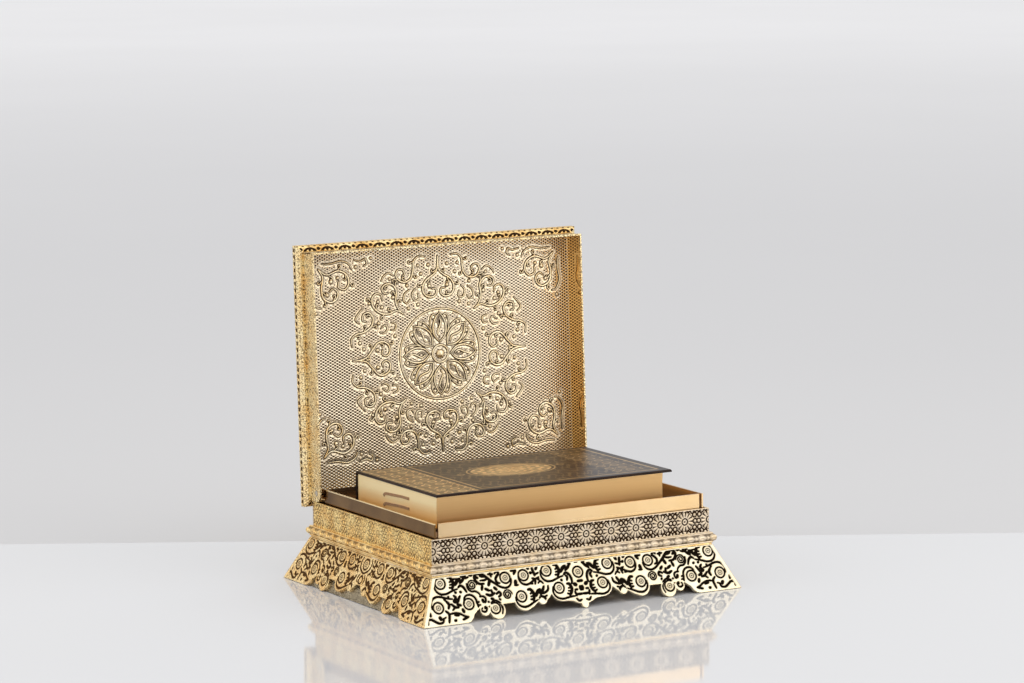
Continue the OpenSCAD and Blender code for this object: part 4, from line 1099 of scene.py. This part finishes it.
def rosette_lines():
    """Eight-petalled rosette for the middle of the panel."""
    lines = []
    for k in range(8):
        turn = math.radians(45.0 * k)
        for flip in (-1, 1):
            lines.append((1.9, turned([(x, y * flip) for x, y in PETAL_EDGE], turn)))
            lines.append((1.3, turned([(x, y * flip) for x, y in PETAL_CURL], turn + math.radians(22.5))))
        lines.append((1.9, turned(PETAL_VEIN, turn)))
    for r, w in ROSETTE_RINGS:
        sweep = np.radians(np.linspace(0, 360, 90))
        lines.append((w, np.column_stack([r * np.cos(sweep), r * np.sin(sweep)])))
    return lines


def panel_ground(u, v):
    """Painted shade beside the raised work and in the corners, and the share of plain woven ground."""
    drawing = Drawing(-50, -50, 146, 128, 0.4)
    for width, path in panel_lines():
        drawing.line(RIDGE_SHARE * width, path, 0.5)
    for width, path in rosette_lines():
        drawing.line(RIDGE_SHARE * width, path, 0.3)
    x, y = np.abs(u), np.abs(v - PANEL_MIDDLE)
    near = drawing.read(x, y)
    for bx, by, r in PANEL_BEADS:
        near = np.minimum(near, np.hypot(x - bx, y - by) - r)
    # painted shade in the creases beside the raised lines and beads
    painted_shade = np.clip(1.25 - np.abs(near - 0.1) / 0.8, 0, 1)
    # painted shade that darkens the panel's corners
    corner_shade = 0.4 * np.clip(1 - np.hypot(134 - x, 104 - y) / 55.0, 0, 1)
    field = np.clip((near - 1.6) / 1.0, 0, 1)
    return np.maximum(painted_shade, corner_shade), field


# Section of a raised line between its edges, which take painted shade: (share of the half width, share of the
# rise)
RAISED_SECTION = [(-1.42, -0.5), (-1.38, 0.08), (-1.0, 0.14), (-0.72, 0.78), (0.0, 1.0), (0.72, 0.78),
                  (1.0, 0.14), (1.38, 0.08), (1.42, -0.5)]


def raised_line(bm, width, points, rise):
    """Rounded raised line that thins towards its ends."""
    path = smooth_path(points, 0.85)
    n = len(path)
    t = np.linspace(0, 1, n)
    closed = np.hypot(*(path[0] - path[-1])) < 0.5
    taper = 1.0 if closed else 0.35 + 0.65 * np.sin(np.pi * np.clip(t, 0.01, 0.99)) ** 0.6
    half = width / 2 * taper * np.ones(n)
    ahead = np.gradient(path, axis=0)
    ahead /= np.maximum(np.hypot(*ahead.T), 1e-6)[:, None]
    sides = len(RAISED_SECTION)
    for v in bmesh.ops.create_grid(bm, x_segments=n - 1, y_segments=sides, size=0.5)["verts"]:
        i, k = round((v.co.x + 0.5) * (n - 1)), round((v.co.y + 0.5) * sides) % sides
        across, up = RAISED_SECTION[k]
        across *= half[i]
        v.co = (path[i, 0] - ahead[i, 1] * across, path[i, 1] + ahead[i, 0] * across,
                up * rise * (0.5 + half[i] / width))


def mirrored(bm, scale):
    copy = bmesh.ops.duplicate(bm, geom=bm.verts[:] + bm.edges[:] + bm.faces[:])["geom"]
    bmesh.ops.scale(bm, vec=scale, verts=[v for v in copy if isinstance(v, bmesh.types.BMVert)])


def bead(bm, x, y, r):
    made = bmesh.ops.create_uvsphere(bm, u_segments=8, v_segments=5, radius=r)["verts"]
    bmesh.ops.scale(bm, vec=(1, 1, 0.62), verts=made)
    bmesh.ops.translate(bm, vec=(x, y, 0), verts=made)
    for v in made:
        v.co.z = max(v.co.z, -0.5)


def lid_panel():
    step = 0.86
    bm = lay_sheet(2 * HALF_W, 2 * HALF_D, step)
    close_back(bm, PANEL_T)
    mark_back(bm, PANEL_T - 0.1)
    p = flat_points(bm)
    front = p[:, 2] > -0.5
    painted_shade, field = panel_ground(p[:, 0], p[:, 1])
    inside = np.clip(HALF_W - 2.3 - np.abs(p[:, 0]), 0, 1) * np.clip(HALF_D - 2.3 - np.abs(p[:, 1]), 0, 1)
    flat = p[:, :2] * MM
    # the ground sinks a little where the painted shade lies
    p[front, 2] = (-0.35 * inside - 0.15 * painted_shade * inside)[front]
    place = LID_OPEN @ axes_at((0, 0, RIM_Z + LID_DEPTH), (1, 0, 0), (0, -1, 0), (0, 0, -1))
    place_points(bm, p, place)
    sheet = bm.loops.layers.uv.new("panel")
    for f in bm.faces:
        for loop in f.loops:
            loop[sheet].uv = flat[loop.vert.index]
    keep_piece("embossed_panel", bm, (champagne_gilt, brushed_sheet), "lid", ["lid_panel"],
               {"recess_and_shade": np.where(front, painted_shade * inside, 0.0), "ground": np.where(front, field, 0.0)})

    bm = bmesh.new()
    for width, path in panel_lines():
        raised_line(bm, RIDGE_SHARE * width, path, PANEL_RISE)
    for x, y, r in PANEL_BEADS:
        bead(bm, x, y, r)
    mirrored(bm, (-1, 1, 1))
    mirrored(bm, (1, -1, 1))
    for width, path in rosette_lines():
        raised_line(bm, RIDGE_SHARE * width, path, PANEL_RISE)
    for k in range(16):
        bead(bm, 40.0 * math.cos(k * math.pi / 8), 40.0 * math.sin(k * math.pi / 8), 1.0)
    bead(bm, 0, 0, 4.6)
    bmesh.ops.remove_doubles(bm, verts=bm.verts, dist=0.004)
    bmesh.ops.holes_fill(bm, edges=[e for e in bm.edges if e.is_boundary], sides=0)
    bmesh.ops.recalc_face_normals(bm, faces=bm.faces)
    for f in bm.faces:
        f.smooth = True
    points = flat_points(bm)
    # painted shade: the raised lines darken towards their foot and stay bright on top
    recess_and_shade = np.clip(1.4 - 4.0 * points[:, 2], 0, 1)
    points[:, 1] += PANEL_MIDDLE
    points[:, 2] -= 0.3
    place_points(bm, points, place)
    keep_piece("raised_scrolls", bm, scroll_gilt, "lid", (), {"recess_and_shade": recess_and_shade})


lid_panel()


# Book

# Cover in plan, and its tooling: end panel, strip, frame and medallion, in millimetres from the box's middle
COVER_LOW, COVER_HIGH = (-121.5, -85.0), (121.5, 66.0)
END_MIDDLE, END_HALF = -97.5, 18.0
STRIP_MIDDLE, STRIP_HALF = (88.0, -8.0), (15.0, 62.0)
FRAME_LEFT, FRAME_RIGHT, FRAME_MIDDLE, FRAME_HALF = -71.5, 112.0, -8.0, 68.0
MEDALLION_MIDDLE, MEDALLION_HALF = -4.0, (40.0, 27.0)


def cover_tooling(x, y):
    """Gold tooling of a cover: end panel, medallion, frame and a fine ground."""
    vine = np.abs(np.sin(0.30 * y + 1.7 * np.sin(0.27 * x)))
    sprigs = np.hypot((x / 14.0) % 1.0 - 0.5, (y / 14.0) % 1.0 - 0.5) * 14.0
    flowers = np.maximum(np.clip(1 - vine / 0.3, 0, 1), edge(np.abs(sprigs - 3.6) - 0.8, 0.6))
    from_end = np.abs(x - END_MIDDLE)
    border = edge(from_end - END_HALF - 0.8) * edge(END_HALF - from_end)
    end_work = np.clip((-76.5 - x) / 0.8, 0, 1) * np.maximum.reduce([flowers, border, 0.22 + 0 * x])
    strip = (edge(np.abs(x - STRIP_MIDDLE[0]) - STRIP_HALF[0])
             * edge(np.abs(y - STRIP_MIDDLE[1]) - STRIP_HALF[1]))
    strip_work = 0.4 * strip * np.maximum(flowers, 0.2)
    up = y - MEDALLION_MIDDLE
    ox, oy = x / MEDALLION_HALF[0], up / MEDALLION_HALF[1]
    oval = np.hypot(ox, oy)
    petal = 0.5 + 0.5 * np.cos(np.arctan2(oy, ox) * 12)
    medallion = np.clip((1.0 - oval) / 0.03, 0, 1)
    lace = 0.45 + 0.55 * np.clip(np.sin(oval * 26.0 + 2.4 * petal) * 1.6, 0, 1)
    heart = np.clip((0.42 - oval) / 0.05, 0, 1) * (0.55 + 0.45 * petal)
    medallion_work = medallion * np.maximum(lace, heart)
    rings = 0.6 * np.clip(1 - np.abs(np.hypot(np.abs(x) - 52.0, up) - 3.0), 0, 1)
    from_middle = np.abs(y - FRAME_MIDDLE)
    frame_gap = np.minimum.reduce([np.abs(x - FRAME_RIGHT), np.abs(from_middle - FRAME_HALF),
                                   np.abs(x - FRAME_LEFT)])
    framed = (x > FRAME_LEFT - 0.9) & (x < FRAME_RIGHT + 0.9) & (from_middle < FRAME_HALF + 0.9)
    lines = 0.85 * np.clip(1 - np.abs(frame_gap - 0.5) / 0.7, 0, 1) * framed
    field = (x > FRAME_LEFT + 1.5) & (x < FRAME_RIGHT - 1.0) & (from_middle < FRAME_HALF - 2.0)
    tendrils = np.sin(0.42 * x + 1.9 * np.sin(0.16 * y)) * np.sin(0.17 * y + 1.1 * np.sin(0.31 * x))
    ground = 0.17 * np.clip(1 - np.abs(tendrils) / 0.3, 0, 1) * field * (1 - medallion) * (1 - strip)
    rim_line = 0.8 * edge(np.abs(oval - 1.08) * 33.0 - 0.5, 0.5)
    return np.maximum.reduce([end_work, strip_work, medallion_work, rings, lines, ground, rim_line])


def book_cover(name, top, node, tooled):
    """Board with a rounded edge; the tooled one has a finely laid face."""
    low, high = Vector(COVER_LOW), Vector(COVER_HIGH)
    size, middle = high - low, (low + high) / 2
    step = 0.75 if tooled else 3.0
    bm = lay_sheet(size.x, size.y, step)
    close_back(bm, COVER_T)
    p = flat_points(bm)
    front = p[:, 2] > -0.5
    rim = np.minimum(size.x / 2 - np.abs(p[:, 0]), size.y / 2 - np.abs(p[:, 1]))
    gold = cover_tooling(p[:, 0] + middle.x, p[:, 1] + middle.y) if tooled else np.zeros(len(p))
    gold = gold * np.clip((rim - 1.5) / 0.5, 0, 1)
    sink = 0.10 * gold + 0.7 * np.clip(1 - rim / 0.8, 0, 1) ** 2
    p[front, 2] = -sink[front]
    place_points(bm, p, Matrix.Translation((middle.x, middle.y, top)))
    keep_piece(name, bm, binding, "tray", [node], {"tooling": np.where(front, gold, 0.0)})


book_cover("binding_top", BOOK_TOP, "book_upper_cover", True)
book_cover("binding_bottom", TRAY_TOP + COVER_T, "book_lower_cover", False)


PAGES_FROM, PAGES_TO = Vector((-120.3, -82.5, 74.8)), Vector((113.5, 66.0, 102.7))


def page_block():
    """Block of pages with a softened edge, whose fore edge is a little hollow."""
    bm = bmesh.new()
    bmesh.ops.create_cube(bm, size=1.0)
    size, middle = PAGES_TO - PAGES_FROM, (PAGES_TO + PAGES_FROM) / 2
    bmesh.ops.scale(bm, vec=size, verts=bm.verts)
    bmesh.ops.translate(bm, vec=middle, verts=bm.verts)
    bmesh.ops.bevel(bm, geom=list(bm.edges), offset=0.35, offset_type="OFFSET", affect="EDGES", segments=3,
                    profile=0.5, material=-1)
    uprights = [e for e in bm.edges if abs(e.verts[0].co.z - e.verts[1].co.z) > size.z / 2]
    bmesh.ops.subdivide_edges(bm, edges=uprights, cuts=11)
    for v in bm.verts:
        if v.co.y < PAGES_FROM.y + 2.5:
            v.co.y += 0.8 * (1 - (2 * (v.co.z - middle.z) / size.z) ** 2)
    bm.normal_update()
    for f in bm.faces:
        f.smooth = False
        f.material_index = 1 if abs(f.normal.x) > 0.7 else 0
    bmesh.ops.scale(bm, vec=(MM, MM, MM), verts=bm.verts)
    keep_piece("page_block", bm, (fore_edge, page_end), "tray", ["book_pages"])


page_block()


# Carried-over parts
# liner_left takes the darker copy of the liner sheet as a painted dark reflection, with a painted highlight
# on its top edge
FINISHES = {
    "floor_plate": warm_gilt, "lid_wall_back": warm_gilt, "book_spine": binding,
    "liner_front": satin_sheet, "liner_back": satin_sheet, "liner_right": satin_sheet,
    "liner_left": dark_reflection_sheet, "tray_plate": board, "corner_blocks": board,
}
for name, node in cad_nodes.items():
    set_finish(node, FINISHES.get(name, steel))


# Table, light and world

def make_table():
    bm = bmesh.new()
    bmesh.ops.create_grid(bm, x_segments=8, y_segments=8, size=40.0)
    mesh = bpy.data.meshes.new("table")
    bm.to_mesh(mesh)
    bm.free()
    table = bpy.data.objects.new("table", mesh)
    table.location = (0, 0, -0.0004)
    scene.collection.objects.link(table)
    table.data.materials.append(table_finish("table_finish"))


def soft_box(name, direction, distance, size, brightness, colour):
    data = bpy.data.lights.new(name, "AREA")
    data.shape, data.size, data.size_y = "RECTANGLE", size[0], size[1]
    data.energy = brightness * math.pi * size[0] * size[1]
    data.color = colour
    lamp = bpy.data.objects.new(name, data)
    toward = Vector(direction).normalized()
    lamp.location = toward * distance + Vector((0, 0, 0.15))
    lamp.rotation_euler = toward.to_track_quat("Z", "Y").to_euler()
    scene.collection.objects.link(lamp)


def set_world():
    world = bpy.data.worlds.new("studio")
    scene.world = world
    world.use_nodes = True
    tree = world.node_tree
    tree.nodes.clear()
    lit, seen = add(tree, "Background"), add(tree, "Background")
    mix, rays = add(tree, "MixShader"), add(tree, "LightPath")
    # the room is warmer to the left
    side = axis_of(tree, add(tree, "TexCoord").outputs["Generated"], "X")
    side = math_node(tree, "MULTIPLY_ADD", side, 0.5, 0.55, clamp=True)
    tone = ramp(tree, side, [(0.3, (0.98, 0.90, 0.76)), (0.75, (0.84, 0.845, 0.85))])
    wire(tree, tone, seen.inputs["Color"])
    fix(lit, Color=(0.88, 0.88, 0.89, 1.0))
    shown = math_node(tree, "MAXIMUM", rays.outputs["Is Glossy Ray"], rays.outputs["Is Transmission Ray"])
    shown = math_node(tree, "MAXIMUM", rays.outputs["Is Camera Ray"], shown)
    wire(tree, shown, mix.inputs["Fac"])
    wire(tree, lit.outputs["Background"], mix.inputs[1])
    wire(tree, seen.outputs["Background"], mix.inputs[2])
    wire(tree, mix.outputs["Shader"], add(tree, "OutputWorld").inputs["Surface"])


make_table()
set_world()
soft_box("key_box", (0.49, -0.64, 0.58), 2.4, (2.0, 1.6), 0.95, (1.0, 0.97, 0.92))
soft_box("top_box", (-0.1, 0.05, 1.0), 2.2, (2.2, 2.2), 0.55, (1.0, 0.99, 0.97))
soft_box("left_box", (-0.9, 0.1, 0.35), 2.6, (1.2, 1.4), 1.4, (1.0, 0.93, 0.82))
soft_box("glow_box", (1.20, -1.60, 0.10), 2.0, (0.55, 0.9), 2.6, (1.0, 0.90, 0.70))
